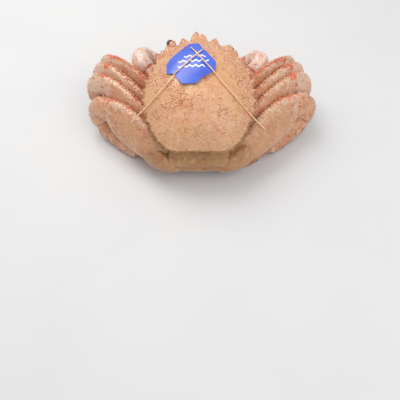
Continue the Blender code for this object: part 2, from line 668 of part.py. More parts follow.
def side_teeth(side, dice):
    """The teeth down one side of the shell's edge, as root, tip and half width."""
    made = []
    for degrees, length, half_width in SIDE_TEETH:
        angle = math.radians(degrees + dice.uniform(-1.2, 1.2)) * side
        reach = shell_edge(angle)
        outward = Vector((math.sin(angle), math.cos(angle), 0.0))
        edge = Vector((0.0, SHELL_POLE_Y, 0.0)) + outward * reach
        tip = edge + (outward + Vector((0.0, 0.45, 0.12))).normalized() * length * dice.uniform(0.92, 1.08)
        if is_free(tip, 1.0):
            made.append((edge - outward * 2.6, tip, half_width))
    return made


def tubercles(dice):
    """The larger tubercles of the dome, spread evenly, as root, direction and length."""
    made = []
    for k in range(TUBERCLE_COUNT):
        angle = k * math.pi * (3 - math.sqrt(5)) + dice.uniform(-0.15, 0.15)
        share = 0.95 * math.sqrt((k + 0.5) / TUBERCLE_COUNT)
        reach = share * shell_edge(angle)
        x, y = reach * math.sin(angle), SHELL_POLE_Y + reach * math.cos(angle)
        root = on_dome(x, y, 0.0)
        if is_free(root) and share > 0.1:
            slope_x = (shell_height(x + 0.5, y) - shell_height(x - 0.5, y))
            slope_y = (shell_height(x, y + 0.5) - shell_height(x, y - 0.5))
            outward = Vector((-slope_x, -slope_y, 1.0)).normalized() + Vector((0.0, 0.25, 0.0))
            made.append((root, outward, dice.uniform(*TUBERCLE_SIZE)))
    return made


def shell(dice):
    """The carapace: the dome, the narrow band below its edge, the front's teeth and the eyes' sockets."""
    rings = [shell_ring(share, share, 0.0, height, SHELL_SIDES) for share, height in reversed(SHELL_BAND)]
    rings.append(shell_ring(1.0, 1.0, 0.0, 0.0, SHELL_SIDES))
    rings += [shell_ring(share, share, 0.0, None, SHELL_SIDES) for share in SHELL_LEVELS]
    carapace = add_object(
        "carapace", in_body(loft(rings, Vector((0.0, SHELL_POLE_Y, SHELL_DOME)))), (0.62, 0.36, 0.22),
    )
    sockets = []
    for side in (1, -1):
        ball = bmesh.new()
        bmesh.ops.create_icosphere(ball, subdivisions=2, radius=ORBIT_RADIUS)
        bmesh.ops.translate(ball, vec=ORBIT, verts=ball.verts)
        sockets.append(add_object("socket", in_body_side(ball, side), (0.3, 0.2, 0.1)))
    combine(carapace, sockets, "DIFFERENCE", "MANIFOLD")
    teeth = []
    for side in (1, -1):
        for root, tip, half_width, half_height in FRONT_TEETH:
            shape = in_body_side(tooth(root, tip, half_width, half_height), side)
            teeth.append(add_object("tooth", shape, (0.62, 0.30, 0.14)))
        for root, tip, half_width in side_teeth(side, dice):
            shape = in_body(tooth(root, tip, half_width, half_width * 0.8))
            teeth.append(add_object("tooth", shape, (0.62, 0.30, 0.14)))
    for root, outward, size in tubercles(dice):
        shape = in_body(spine(root, outward, size, size * 0.62))
        teeth.append(add_object("tubercle", shape, (0.62, 0.30, 0.14)))
    combine(carapace, teeth, "UNION", "MANIFOLD")


def thorax():
    """The body between the legs, from the carapace's lower face to the sternum."""
    rings = [shell_ring(*ring, THORAX_SIDES) for ring in THORAX_RINGS]
    return add_object("thorax", in_body(loft(rings)), (0.72, 0.52, 0.34))


def abdomen():
    """The narrow flap that comes out under the carapace's rear edge and folds forward under the sternum."""
    centres = [Vector((0, y, z)) for y, z, _, _ in ABDOMEN_RINGS]
    rings = []
    for k, (_, _, half_width, half_thick) in enumerate(ABDOMEN_RINGS):
        before, after = centres[max(k - 1, 0)], centres[min(k + 1, len(centres) - 1)]
        direction = (after - before).normalized()
        normal = direction.cross(Vector((1, 0, 0))).normalized()
        station = (centres[k], Vector((1, 0, 0)), normal, half_width, half_thick)
        rings.append(section(station, CHAIN_SIDES, fullness=0.5))
    add_object("abdomen", in_body(loft(rings)), (0.70, 0.50, 0.30))


def on_dome(x, y, lift):
    """A point of the body's frame, this far above the dome."""
    return Vector((x, y, shell_height(x, y) + lift))


def tag():
    """The tag, a thin stiff sheet that bends over the dome."""
    sheet = bmesh.new()
    sheet.faces.new([sheet.verts.new((x, y, 0)) for x, y in TAG_OUTLINE])
    for axis in (0, 1):
        low = min(vert.co[axis] for vert in sheet.verts)
        high = max(vert.co[axis] for vert in sheet.verts)
        for k in range(1, math.ceil((high - low) / TAG_STEP)):
            normal = Vector((1, 0, 0)) if axis == 0 else Vector((0, 1, 0))
            cut = normal * (low + k * TAG_STEP)
            geometry = sheet.verts[:] + sheet.edges[:] + sheet.faces[:]
            bmesh.ops.bisect_plane(sheet, geom=geometry, plane_co=cut, plane_no=normal)
    top = bmesh.ops.extrude_face_region(sheet, geom=sheet.faces[:])["geom"]
    raised = {item for item in top if isinstance(item, bmesh.types.BMVert)}
    for vert in sheet.verts:
        vert.co = on_dome(vert.co.x, vert.co.y, 0.45 + (TAG_THICK if vert in raised else 0.0))
    bmesh.ops.recalc_face_normals(sheet, faces=sheet.faces)
    add_object("tag", in_body(sheet), (0.08, 0.16, 0.62))


def over_dome(places, lift, step=3.5):
    """Points a short step apart over the dome, through these places."""
    points = []
    for (x0, y0), (x1, y1) in zip(places, places[1:]):
        count = max(1, round(math.hypot(x1 - x0, y1 - y0) / step))
        for k in range(count):
            points.append(on_dome(x0 + (x1 - x0) * k / count, y0 + (y1 - y0) * k / count, lift))
    return [*points, on_dome(*places[-1], lift)]


def elastic():
    """The elastic: two strands that cross on the tag and run down over the shell's sides, to the legs."""
    lift = 0.45 + TAG_THICK + GAP + ELASTIC_RADIUS
    frame = body_frame()
    strands = []
    for places, end in ((ELASTIC_LEFT, ELASTIC_LEFT_END), (ELASTIC_RIGHT, ELASTIC_RIGHT_END)):
        strands.append([frame @ point for point in over_dome((ELASTIC_KNOT, *places), lift)] + [end])
    for tail in ELASTIC_TAILS:
        strands.append([frame @ point for point in over_dome((ELASTIC_KNOT, tail), lift)])
    made = []
    for points in strands:
        loops = [section(station, ELASTIC_SIDES) for station in
                 stations_along([(*point, ELASTIC_RADIUS, ELASTIC_RADIUS) for point in points])]
        made.append(add_object("strand" if made else "elastic", loft(loops), (0.80, 0.52, 0.34)))
    combine(made[0], made[1:], "UNION")


def main():
    """Clears the scene and builds the crab."""
    for old in list(bpy.data.objects):
        bpy.data.objects.remove(old)
    dice = random.Random(SEED)
    shell(dice)
    body = thorax()
    abdomen()
    head()
    tag()
    elastic()
    for side in (1, -1):
        claw(side, dice)
        for name, leg in LEGS.items():
            walking_leg(name, moved(leg, side, name), side, dice)
    feelers = [made for made in bpy.context.scene.objects if made.name.startswith(("eye", "antenn"))]
    combine(bpy.data.objects["carapace"], [swollen(made, 0.4) for made in feelers], "DIFFERENCE")
    seated = [made for made in bpy.context.scene.objects
              if made.name.startswith(("claw_merus", "abdomen", "maxilliped")) or "_merus_" in made.name]
    combine(body, [swollen(made, 0.4) for made in seated], "DIFFERENCE")


main()
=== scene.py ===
"""Looks of a still, life-size model of a horsehair crab, boiled and folded up, with a tag on an elastic.

Shapes are worked out in millimetres. The crab's frame has +X to its right, +Y to its front and +Z up. The
body has a frame of its own, tilted up at the front, whose plane is that of the shell's edge. A limb is given
for the right side, and a matrix that mirrors it places the left one.
"""

from __future__ import annotations

import logging
import math
import random
from dataclasses import dataclass, field, replace
from enum import Enum
from typing import Callable, Sequence

import bmesh
import bpy
import numpy as np
from mathutils import Matrix, Vector, noise

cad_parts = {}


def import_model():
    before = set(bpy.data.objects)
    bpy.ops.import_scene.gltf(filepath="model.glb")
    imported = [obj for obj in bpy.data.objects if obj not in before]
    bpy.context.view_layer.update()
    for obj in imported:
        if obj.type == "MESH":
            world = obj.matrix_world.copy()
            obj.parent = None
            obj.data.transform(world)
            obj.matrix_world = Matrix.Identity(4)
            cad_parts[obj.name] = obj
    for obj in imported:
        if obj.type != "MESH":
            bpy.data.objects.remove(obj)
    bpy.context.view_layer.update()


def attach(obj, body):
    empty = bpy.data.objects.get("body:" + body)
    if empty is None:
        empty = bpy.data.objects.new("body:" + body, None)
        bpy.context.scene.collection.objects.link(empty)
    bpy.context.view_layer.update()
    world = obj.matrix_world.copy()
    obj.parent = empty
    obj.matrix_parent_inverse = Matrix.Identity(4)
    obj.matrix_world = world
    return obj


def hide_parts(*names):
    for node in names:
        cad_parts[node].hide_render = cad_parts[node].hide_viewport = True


LOG = logging.getLogger("crab")

MM = 0.001
SEED = 11
GOLDEN_TURN = math.pi * (3 - math.sqrt(5))
X_AXIS, Y_AXIS, Z_AXIS = Vector((1, 0, 0)), Vector((0, 1, 0)), Vector((0, 0, 1))

# The middle of the crab's box on the floor, in the crab's frame.
BOX_MIDDLE = (2.1, -2.0)
BODY_CENTRE = (1.0, -8.9, 59.6)
BODY_TILT = math.radians(19)

Pair = tuple[float, float]
Triple = tuple[float, float, float]
Table = Sequence[tuple[float, ...]]
Colour = Triple
Socket = bpy.types.NodeSocket
NodeTree = bpy.types.NodeTree
Material = bpy.types.Material
BMesh = bmesh.types.BMesh


class Side(Enum):
    """The crab's two sides."""

    RIGHT = 1
    LEFT = -1

    @property
    def suffix(self) -> str:
        """The ending of a node's name on this side."""
        return "r" if self is Side.RIGHT else "l"


class Slot(Enum):
    """The record's material slots."""

    SHELL = "shell"
    UNDERSIDE = "underside"
    LIMB = "limb"
    CLAW_TIP = "claw_tip"
    EYE = "eye"
    TAG = "tag"
    ELASTIC = "elastic"


@dataclass(frozen=True)
class Tone:
    """How far a place's colour goes from its ground: to orange, cream, olive, the dark red-brown of painted
    shade (deep), dark horn.

    The last share says how many of the small dark specks a place has, with their painted glints and painted
    highlight rings.
    """

    warm: float = 0.0
    pale: float = 0.0
    olive: float = 0.0
    # deep: painted shade, darker red-brown where a part lies under the shell or in a gap between parts.
    deep: float = 0.0
    horn: float = 0.0
    specks: float = 0.0

    def values(self) -> tuple[float, ...]:
        """The shares in the order of LAYERS, each kept from 0 to 1."""
        return tuple(min(max(getattr(self, name), 0.0), 1.0) for name in LAYERS)


TONES = ("warm", "pale", "olive", "deep", "horn")
LAYERS = (*TONES, "specks")
COLOURS = ("ground", "blush", "cream", *TONES)
ToneRule = Callable[[float, float, float], Tone]


@dataclass(frozen=True)
class Root:
    """A place on a skin where a tubercle or a tuft grows, in metres.

    Lie is the direction along the skin in which bristles lean, and patch the place on the skin's unwrap.
    """

    point: Vector
    normal: Vector
    lie: Vector
    patch: Pair
    tone: Tone


def crab_matrix(side: Side = Side.RIGHT) -> Matrix:
    """The matrix from the crab's frame in millimetres to the part's in metres. It mirrors the left side."""
    middle = Matrix.Translation((-BOX_MIDDLE[0] * MM, -BOX_MIDDLE[1] * MM, 0.0))
    return middle @ Matrix.Diagonal((side.value * MM, MM, MM, 1.0))


def body_matrix(side: Side = Side.RIGHT) -> Matrix:
    """The matrix from the body's frame in millimetres to the part's in metres. It mirrors the left side."""
    tilt = Matrix.Translation(BODY_CENTRE) @ Matrix.Rotation(BODY_TILT, 4, "X")
    return crab_matrix() @ tilt @ Matrix.Diagonal((side.value, 1.0, 1.0, 1.0))


def ease(value: float, low: float, high: float) -> float:
    """How far value has come from low to high, from 0 to 1, with a soft start and end."""
    share = min(max((value - low) / (high - low), 0.0), 1.0)
    return share * share * (3 - 2 * share)


def hump(distance: float, reach: float) -> float:
    """A bell curve that is 1 at no distance and dies out past its reach."""
    return math.exp(-((distance / reach) ** 2))


def curve_value(before: float, start: float, end: float, after: float, share: float) -> float:
    """A value between start and end on a smooth curve through four values."""
    square = 2 * before - 5 * start + 4 * end - after
    cube = 3 * (start - end) + after - before
    return start + 0.5 * share * (end - before + share * (square + share * cube))


def around(items: Sequence, place: int) -> list:
    """Four neighbours in a row, the second of them at this place, with the ends repeated past the ends."""
    return [items[min(max(place + k, 0), len(items) - 1)] for k in (-1, 0, 1, 2)]


def level_turn(angle: float) -> Vector:
    """The level direction at an angle in radians from the front."""
    return Vector((math.sin(angle), math.cos(angle), 0.0))


def linear(colour: Colour) -> tuple[float, float, float, float]:
    """A colour as a screen shows it, each part from 0 to 255, turned into a shader's own values."""
    parts = [value / 255 for value in colour]
    return (*[part / 12.92 if part <= 0.04045 else ((part + 0.055) / 1.055) ** 2.4 for part in parts], 1.0)


class Skin:
    """A closed skin over a grid that runs round (u from 0 to 1) and along (v from 0 to 1)."""

    columns: int = 40
    rows: int = 40

    def __init__(self, place: Matrix, cell: Triple) -> None:
        """Keeps the matrix to the part's frame, and the (u, v, width) of the skin's cell on its unwrap."""
        self.place = place
        self.cell = cell

    def point(self, u: float, v: float) -> Vector:
        """The skin's place, in millimetres."""
        raise NotImplementedError

    def core(self, v: float) -> Vector:
        """The middle of the loop at v."""
        raise NotImplementedError

    def tone(self, u: float, v: float) -> Tone:
        """The skin's tone at a place."""
        raise NotImplementedError

    def levels(self) -> list[float]:
        """The values of v that have a loop."""
        return [k / self.rows for k in range(self.rows + 1)]

    def patch(self, u: float, v: float) -> Pair:
        """A place of the skin on its unwrap."""
        return self.cell[0] + u * self.cell[2], self.cell[1] + v * self.cell[2]

    def root(self, u: float, v: float, lean: float = 0.0) -> Root:
        """A place of the skin for something to grow on.

        Args:
            u: the place round the skin.
            v: the place along the skin.
            lean: turns the lie from along the skin, in radians.

        Returns:
            The root, in the part's frame.
        """
        step = 0.004
        spot = self.point(u, v)
        across = self.point(u + step, v) - self.point(u - step, v)
        along = self.point(u, min(v + step, 1.0)) - self.point(u, max(v - step, 0.0))
        normal = across.cross(along).normalized()
        if normal.dot(spot - self.core(v)) < 0:
            normal = -normal
        lie = (Matrix.Rotation(lean, 3, normal) @ along).normalized()
        turn = self.place.to_3x3()
        out = (turn @ normal).normalized()
        return Root(self.place @ spot, out, (turn @ lie).normalized(), self.patch(u, v), self.tone(u, v))

    def shape(self) -> BMesh:
        """The skin as a mesh in the part's frame, with its tones and its unwrap."""
        shape = bmesh.new()
        for name in (*LAYERS, "u", "v"):
            shape.verts.layers.float.new(name)
        layers = [shape.verts.layers.float[name] for name in (*LAYERS, "u", "v")]
        face = shape.faces.new([shape.verts.new((k, 0, 0)) for k in range(self.columns)])
        for number, v in enumerate(self.levels()):
            if number:
                face = bmesh.ops.extrude_discrete_faces(shape, faces=[face])["faces"][0]
            for k, vert in enumerate(face.verts):
                u = k / self.columns
                vert.co = self.point(u, v)
                for layer, value in zip(layers, (*self.tone(u, v).values(), u, v)):
                    vert[layer] = value
        bmesh.ops.holes_fill(shape, edges=[edge for edge in shape.edges if edge.is_boundary])
        bmesh.ops.poke(shape, faces=[face for face in shape.faces if len(face.verts) > 4])
        unwrap = shape.loops.layers.uv.new("skin")
        for face in shape.faces:
            turns = [loop.vert[layers[-2]] for loop in face.loops]
            wraps = max(turns) - min(turns) > 0.5
            for loop, u in zip(face.loops, turns):
                loop[unwrap].uv = self.patch(u + 1.0 if wraps and u < 0.5 else u, loop.vert[layers[-1]])
        bmesh.ops.transform(shape, matrix=self.place, verts=shape.verts)
        for vert in shape.verts:
            vert.co.z = max(vert.co.z, 0.0)
        bmesh.ops.recalc_face_normals(shape, faces=shape.faces)
        return shape


@dataclass(frozen=True)
class Station:
    """One cross-section of a limb: its middle, its two directions and its half sizes, in millimetres."""

    centre: Vector
    across: Vector
    upward: Vector
    half_width: float
    half_height: float


@dataclass(frozen=True)
class Ridge:
    """A raised line along a limb, in millimetres, with its turn and half width as shares of the way round."""

    turn: float
    height: float
    width: float = 0.03


@dataclass(frozen=True)
class LimbForm:
    """How a limb's skin departs from the plain oval, with sizes in millimetres.

    Groove is a furrow's depth and half width, and grooves has the furrows' places along the limb. Fullness is
    the power of the oval's width, which is fuller below 1. Tone gives the tone at (u, v, unevenness).
    """

    ridges: tuple[Ridge, ...] = ()
    grooves: tuple[float, ...] = ()
    groove: Pair = (0.5, 0.8)
    fullness: float = 0.8
    round_start: float = 1.6
    round_end: float = 1.6
    wobble: float = 0.22
    tone: ToneRule = lambda u, v, rough: Tone()


class LimbSkin(Skin):
    """The skin of one segment of a limb, through its stations."""

    def __init__(self, place: Matrix, cell: Triple, stations: Sequence[Station], form: LimbForm,
                 grid: float = 0.8) -> None:
        """Lays the stations out evenly.

        Args:
            place: the matrix to the part's frame.
            cell: the skin's place on its unwrap.
            stations: the segment's cross-sections, near end first.
            form: how the skin departs from the plain oval.
            grid: the size of the skin's cells, in millimetres.
        """
        super().__init__(place, cell)
        self.form = form
        lengths = [(b.centre - a.centre).length for a, b in zip(stations, stations[1:])]
        self.length = sum(lengths)
        girth = max(math.pi * (station.half_width + station.half_height) for station in stations)
        self.columns = max(16, 4 * round(girth / grid / 4))
        self.rows = max(8, round(self.length / grid))
        self.dense: list[Station] = []
        count = max(self.rows, 24)
        for k in range(count + 1):
            reach = self.length * k / count
            base = 0
            while base < len(lengths) - 1 and reach > lengths[base]:
                reach -= lengths[base]
                base += 1
            self.dense.append(self.between(stations, base, min(reach / lengths[base], 1.0)))

    @staticmethod
    def between(stations: Sequence[Station], base: int, share: float) -> Station:
        """The cross-section at a share of the way from one station to the next."""
        near = around(stations, base)

        def value(part: Callable[[Station], float]) -> float:
            """A measure of the cross-section there."""
            return curve_value(*map(part, near), share)

        centre = Vector([value(lambda s, axis=axis: s.centre[axis]) for axis in range(3)])
        across = near[1].across.lerp(near[2].across, share).normalized()
        upward = near[1].upward.lerp(near[2].upward, share).normalized()
        return Station(centre, across, upward, value(lambda s: s.half_width), value(lambda s: s.half_height))

    def core(self, v: float) -> Vector:
        """The middle of the limb at v."""
        return self.station(v).centre

    def station(self, v: float) -> Station:
        """The cross-section at a place along the segment."""
        place = min(max(v, 0.0), 1.0) * (len(self.dense) - 1)
        base = min(int(place), len(self.dense) - 2)
        low, high, share = self.dense[base], self.dense[base + 1], place - base
        return Station(
            low.centre.lerp(high.centre, share), low.across.lerp(high.across, share),
            low.upward.lerp(high.upward, share), low.half_width + (high.half_width - low.half_width) * share,
            low.half_height + (high.half_height - low.half_height) * share,
        )

    def levels(self) -> list[float]:
        """Evenly spaced loops, with two more at each rounded end."""
        fine = [0.25 / self.length, 0.7 / self.length]
        middle = [k / self.rows for k in range(1, self.rows)]
        return sorted({0.0, 1.0, *fine, *[1.0 - value for value in fine], *middle})

    def point(self, u: float, v: float) -> Vector:
        """The skin's place, in millimetres."""
        station, form = self.station(v), self.form
        angle = 2 * math.pi * u
        side, rise = math.sin(angle), math.cos(angle)
        wide = math.copysign(station.half_width * abs(side) ** form.fullness, side)
        arm = station.across * wide + station.upward * (station.half_height * rise)
        size = min(station.half_width, station.half_height)
        shrink = 0.0
        near, far = v * self.length, (1 - v) * self.length
        for reach, rounding in ((near, form.round_start), (far, form.round_end)):
            if rounding > 0 and reach < rounding:
                shrink += rounding * 0.55 * (1 - math.sqrt(1 - (1 - reach / rounding) ** 2))
        swell = sum(r.height * hump((u - r.turn + 0.5) % 1.0 - 0.5, r.width) for r in form.ridges)
        swell *= min(1.0, size / 4) * ease(near, 0, 3) * ease(far, 0, 3)
        depth, reach = form.groove
        swell -= depth * sum(hump((v - place) * self.length, reach) for place in form.grooves)
        spot = station.centre + arm
        swell += form.wobble * min(1.0, size / 4) * noise.noise(spot * 0.21)
        return spot + arm.normalized() * (swell - min(shrink, size * 0.8))

    def tone(self, u: float, v: float) -> Tone:
        """The skin's tone at a place."""
        rough = noise.noise(self.station(v).centre * 0.13 + Vector((u * 9, 0, 0)))
        return self.form.tone(u % 1.0, v, rough)


SHELL_POLE_Y = -4.0
SHELL_DOME = 20.5
SHELL_DOME_POWER = 2.6
# The shell's edge, as (degrees from the front, distance from the pole), the same on both sides.
SHELL_EDGE = (
    (0, 54.2), (11, 52.8), (23, 50.2), (35, 49.8), (46, 48.2), (60, 46.4), (74, 45.8), (88, 46.0),
    (102, 47.4), (115, 48.4), (126, 49.8), (137, 52.4), (148, 54.6), (156, 55.0), (165, 52.6), (173, 50.8),
    (180, 50.3),
)
# The tag's outline and the elastic's strands on the dome, as (x, y) in the body's frame.
TAG_OUTLINE = (
    (-8.4, 37.4), (-0.4, 37.4), (2.6, 31.0), (13.6, 16.2), (13.2, 8.0), (8.6, 4.4), (2.0, 0.2), (-2.4, -5.0),
    (-14.2, -4.8), (-18.4, 1.6), (-20.4, 5.0), (-26.6, 6.6), (-27.0, 15.8), (-24.4, 21.2),
)
KNOT = (-1.6, 22.8)


@dataclass(frozen=True)
class Region:
    """A swelling or a hollow of the shell, given for the right side and mirrored where x isn't 0."""

    x: float
    y: float
    reach_x: float
    reach_y: float
    height: float


@dataclass(frozen=True)
class EdgeTooth:
    """A tooth of the shell's edge, as degrees from the front, length, half width, lean forward and lift.

    Worn is how much shorter, in millimetres, the right one of the pair is.
    """

    degrees: float
    length: float
    half_width: float
    lean: float = 0.0
    lift: float = 0.2
    worn: float = 0.0


@dataclass
class Dome:
    """The form of the shell, which the tag and the elastic lie on too, in the body's frame."""

    regions: tuple[Region, ...] = (
        Region(0, 18, 13, 12, 0.7), Region(0, -17, 9.5, 9, 0.8), Region(0, -38, 11, 6, 0.45),
        Region(27, -10, 13, 22, 0.85), Region(27, 21, 9, 8, 0.6), Region(11.5, 30, 7, 7, 0.4),
        Region(12, -9, 3.2, 11, -0.85), Region(7, 1.5, 4.2, 2.6, -0.8), Region(17, 9, 6, 2.6, -0.6),
        Region(0, -28, 9, 2.4, -0.5), Region(14, -26, 3.4, 7, -0.5),
    )
    teeth: tuple[EdgeTooth, ...] = (
        EdgeTooth(2.7, 5.4, 6.8, worn=2.2), EdgeTooth(15.4, 3.4, 4.8), EdgeTooth(31.0, 4.2, 6.4, 0.05),
        EdgeTooth(39.5, 3.2, 4.2, 0.2), EdgeTooth(49, 2.8, 2.6, 0.45), EdgeTooth(57, 3.0, 2.6, 0.45),
        EdgeTooth(66, 3.0, 2.6, 0.45), EdgeTooth(76, 2.8, 2.6, 0.45), EdgeTooth(86, 2.5, 2.4, 0.45),
        EdgeTooth(97, 2.2, 2.2, 0.45), EdgeTooth(108, 1.9, 2.1, 0.45), EdgeTooth(119, 1.7, 1.9, 0.45),
        EdgeTooth(130, 1.5, 1.8, 0.45), EdgeTooth(141, 1.3, 1.7, 0.45), EdgeTooth(151, 1.2, 1.6, 0.4),
    )
    # The notches beside the front teeth and over the eyes, as degrees, depth and half width.
    notches: tuple[Triple, ...] = ((9.6, 3.0, 2.6), (22.5, 1.0, 4.0))
    rim: float = 0.35
    edges: list[float] = field(default_factory=list)

    def __post_init__(self) -> None:
        """Works out the edge's distance for every half degree."""
        second, last = SHELL_EDGE[1], SHELL_EDGE[-2]
        table = [(-second[0], second[1]), *SHELL_EDGE, (360 - last[0], last[1])]
        for half_degrees in range(361):
            degrees = half_degrees / 2
            base = max(k for k in range(1, len(table) - 2) if table[k][0] <= degrees)
            (a0, r0), (a1, r1), (a2, r2), (a3, r3) = table[base - 1:base + 3]
            before = r2 - (r2 - r0) / (a2 - a0) * (a2 - a1) * 2
            after = r1 + (r3 - r1) / (a3 - a1) * (a2 - a1) * 2
            self.edges.append(curve_value(before, r1, r2, after, (degrees - a1) / (a2 - a1)))

    def edge(self, angle: float) -> float:
        """Distance from the pole to the plain edge, in a direction given in radians from the front."""
        degrees = abs(math.degrees(math.atan2(math.sin(angle), math.cos(angle)))) * 2
        base = min(int(degrees), 359)
        return self.edges[base] + (self.edges[base + 1] - self.edges[base]) * (degrees - base)

    def share(self, x: float, y: float) -> float:
        """How far a place is from the pole, as a share of the way to the edge."""
        return math.hypot(x, y - SHELL_POLE_Y) / self.edge(math.atan2(x, y - SHELL_POLE_Y))

    def relief(self, x: float, y: float, share: float) -> float:
        """How far the shell's regions raise it."""
        height = sum(
            r.height * hump(x - side * r.x, r.reach_x) * hump(y - r.y, r.reach_y)
            for r in self.regions for side in ((1, -1) if r.x else (1,))
        )
        height *= 1 - ease(share, 0.82, 0.97)
        wide, fine = noise.noise(Vector((x, y, 0.0)) * 0.16), noise.noise(Vector((x, y, 7.0)) * 0.45)
        height += 0.16 * wide + 0.10 * fine
        return height - self.rim * hump(share - 0.955, 0.018) + self.rim * hump(share - 0.99, 0.012)

    def height(self, x: float, y: float) -> float:
        """Height of the shell's surface over the plane of its edge."""
        share = min(self.share(x, y), 1.0)
        return SHELL_DOME * (1 - share ** SHELL_DOME_POWER) + self.relief(x, y, share)

    def on(self, x: float, y: float, lift: float) -> Vector:
        """A place this far above the shell."""
        return Vector((x, y, self.height(x, y) + lift))

    def tooth_offset(self, angle: float) -> tuple[Vector, float]:
        """How far the teeth move the edge in a direction.

        Args:
            angle: radians from the front.

        Returns:
            The move in the body's frame, and how near the place is to a tooth's tip, from 0 to 1.
        """
        reach = self.edge(angle)
        side = 1 if math.sin(angle) >= 0 else -1
        turn = abs(math.atan2(math.sin(angle), math.cos(angle)))
        out = level_turn(angle)
        forward = Vector((-side * math.cos(turn), math.sin(turn), 0.0))
        best, move = 0.0, Vector()
        for tooth in self.teeth:
            away = abs(turn - math.radians(tooth.degrees)) * reach
            near = max(0.0, 1 - away / tooth.half_width)
            length = tooth.length - (tooth.worn if side > 0 else 0.0)
            if near > 0 and near * length > best:
                best = near * length
                move = (out + forward * tooth.lean + Vector((0, 0, tooth.lift))).normalized() * length * near
        notch = sum(
            depth * hump((turn - math.radians(degrees)) * reach, half_width)
            for degrees, depth, half_width in self.notches
        )
        return move - out * notch, min(best / 4.0, 1.0)


class Graph:
    """A short way to place and join shader nodes."""

    def __init__(self, tree: NodeTree) -> None:
        """Keeps the node tree."""
        self.tree = tree

    def feed(self, node: bpy.types.Node, links: dict) -> bpy.types.Node:
        """Fills a node's inputs, by name or number.

        Args:
            node: the node.
            links: what goes into each input: a socket to join, or a value.

        Returns:
            The node.
        """
        for key, value in links.items():
            if isinstance(value, Socket):
                self.tree.links.new(value, node.inputs[key])
            else:
                node.inputs[key].default_value = value
        return node

    def node(self, kind: str, links: dict | None = None, **settings: object) -> bpy.types.Node:
        """Places a node.

        Args:
            kind: the node's type, without its ShaderNode prefix.
            links: what goes into each input.
            settings: the node's own properties.

        Returns:
            The node.
        """
        made = self.tree.nodes.new(kind if kind.startswith("NodeGroup") else "ShaderNode" + kind)
        for name, value in settings.items():
            setattr(made, name, value)
        return self.feed(made, links or {})

    def math(self, operation: str, *values: Socket | float, clamp: bool = False) -> Socket:
        """The result of a sum on sockets or numbers."""
        return self.node("Math", dict(enumerate(values)), operation=operation, use_clamp=clamp).outputs[0]

    def times(self, first: Socket | float, second: Socket | float) -> Socket:
        """The product of two sockets or numbers."""
        return self.math("MULTIPLY", first, second)

    def scaled(self, value: Socket, size: float, start: Socket | float) -> Socket:
        """A value times a size, counted from a start."""
        return self.math("MULTIPLY_ADD", value, size, start)

    def mix(self, share: Socket, start: Socket | tuple, end: Socket | tuple) -> Socket:
        """A colour between two others."""
        return self.node("Mix", {0: share, 6: start, 7: end}, data_type="RGBA").outputs[2]

    def ramp(self, value: Socket, low: float, high: float) -> Socket:
        """How far a value has come from low to high, from 0 to 1."""
        return self.node("MapRange", {0: value, 1: low, 2: high}, interpolation_type="SMOOTHSTEP").outputs[0]

    def clouds(self, place: Socket, scale: Socket | float, detail: float = 2.0, rough: float = 0.5,
               seed: float | None = None) -> Socket:
        """The value of a noise.

        Args:
            place: the coordinates, in metres.
            scale: how many clouds there are in a metre.
            detail: how many finer layers it has.
            rough: how strong those are.
            seed: tells one noise from another, where it is given.

        Returns:
            The value.
        """
        links = {"Vector": place, "Scale": scale, "Detail": detail, "Roughness": rough}
        if seed is None:
            return self.node("TexNoise", links).outputs[0]
        return self.node("TexNoise", {**links, "W": seed}, noise_dimensions="4D").outputs[0]

    def patches(self, place: Socket, size: float, amount: Socket, seed: float, soft: float) -> Socket:
        """Uneven patches that cover as much of the surface as their amount says.

        Args:
            place: the coordinates, in metres.
            size: a patch's size in millimetres.
            amount: the share to cover, from 0 to 1.
            seed: tells one set of patches from another.
            soft: how soft their edges are.

        Returns:
            The mask.
        """
        spread = self.scaled(self.clouds(place, 1000.0 / size, 4.0, 0.6, seed), 2.4, -0.7)
        return self.ramp(self.math("ADD", spread, amount), 1.0 - soft, 1.0 + soft)


class Group(Graph):
    """A node group that finishes share, with its own inputs under start."""

    def __init__(self, name: str, inputs: dict[str, object], outputs: Sequence[str]) -> None:
        """Starts the group.

        Args:
            name: the group's name.
            inputs: each input's default value by name: a number, a colour, or nothing for a place.
            outputs: the names of the outputs, which are numbers but for the one named Color.
        """
        super().__init__(bpy.data.node_groups.new(name, "ShaderNodeTree"))
        for key, value in inputs.items():
            kind = "Vector" if value is None else "Float" if isinstance(value, float) else "Color"
            socket = self.tree.interface.new_socket(key, in_out="INPUT", socket_type=f"NodeSocket{kind}")
            if value is not None:
                socket.default_value = value
        for key in outputs:
            kind = "Color" if key == "Color" else "Float"
            self.tree.interface.new_socket(key, in_out="OUTPUT", socket_type=f"NodeSocket{kind}")
        self.start = self.node("NodeGroupInput").outputs

    def end(self, links: dict[str, Socket]) -> NodeTree:
        """Joins the group's outputs, and gives its tree."""
        self.node("NodeGroupOutput", links)
        return self.tree


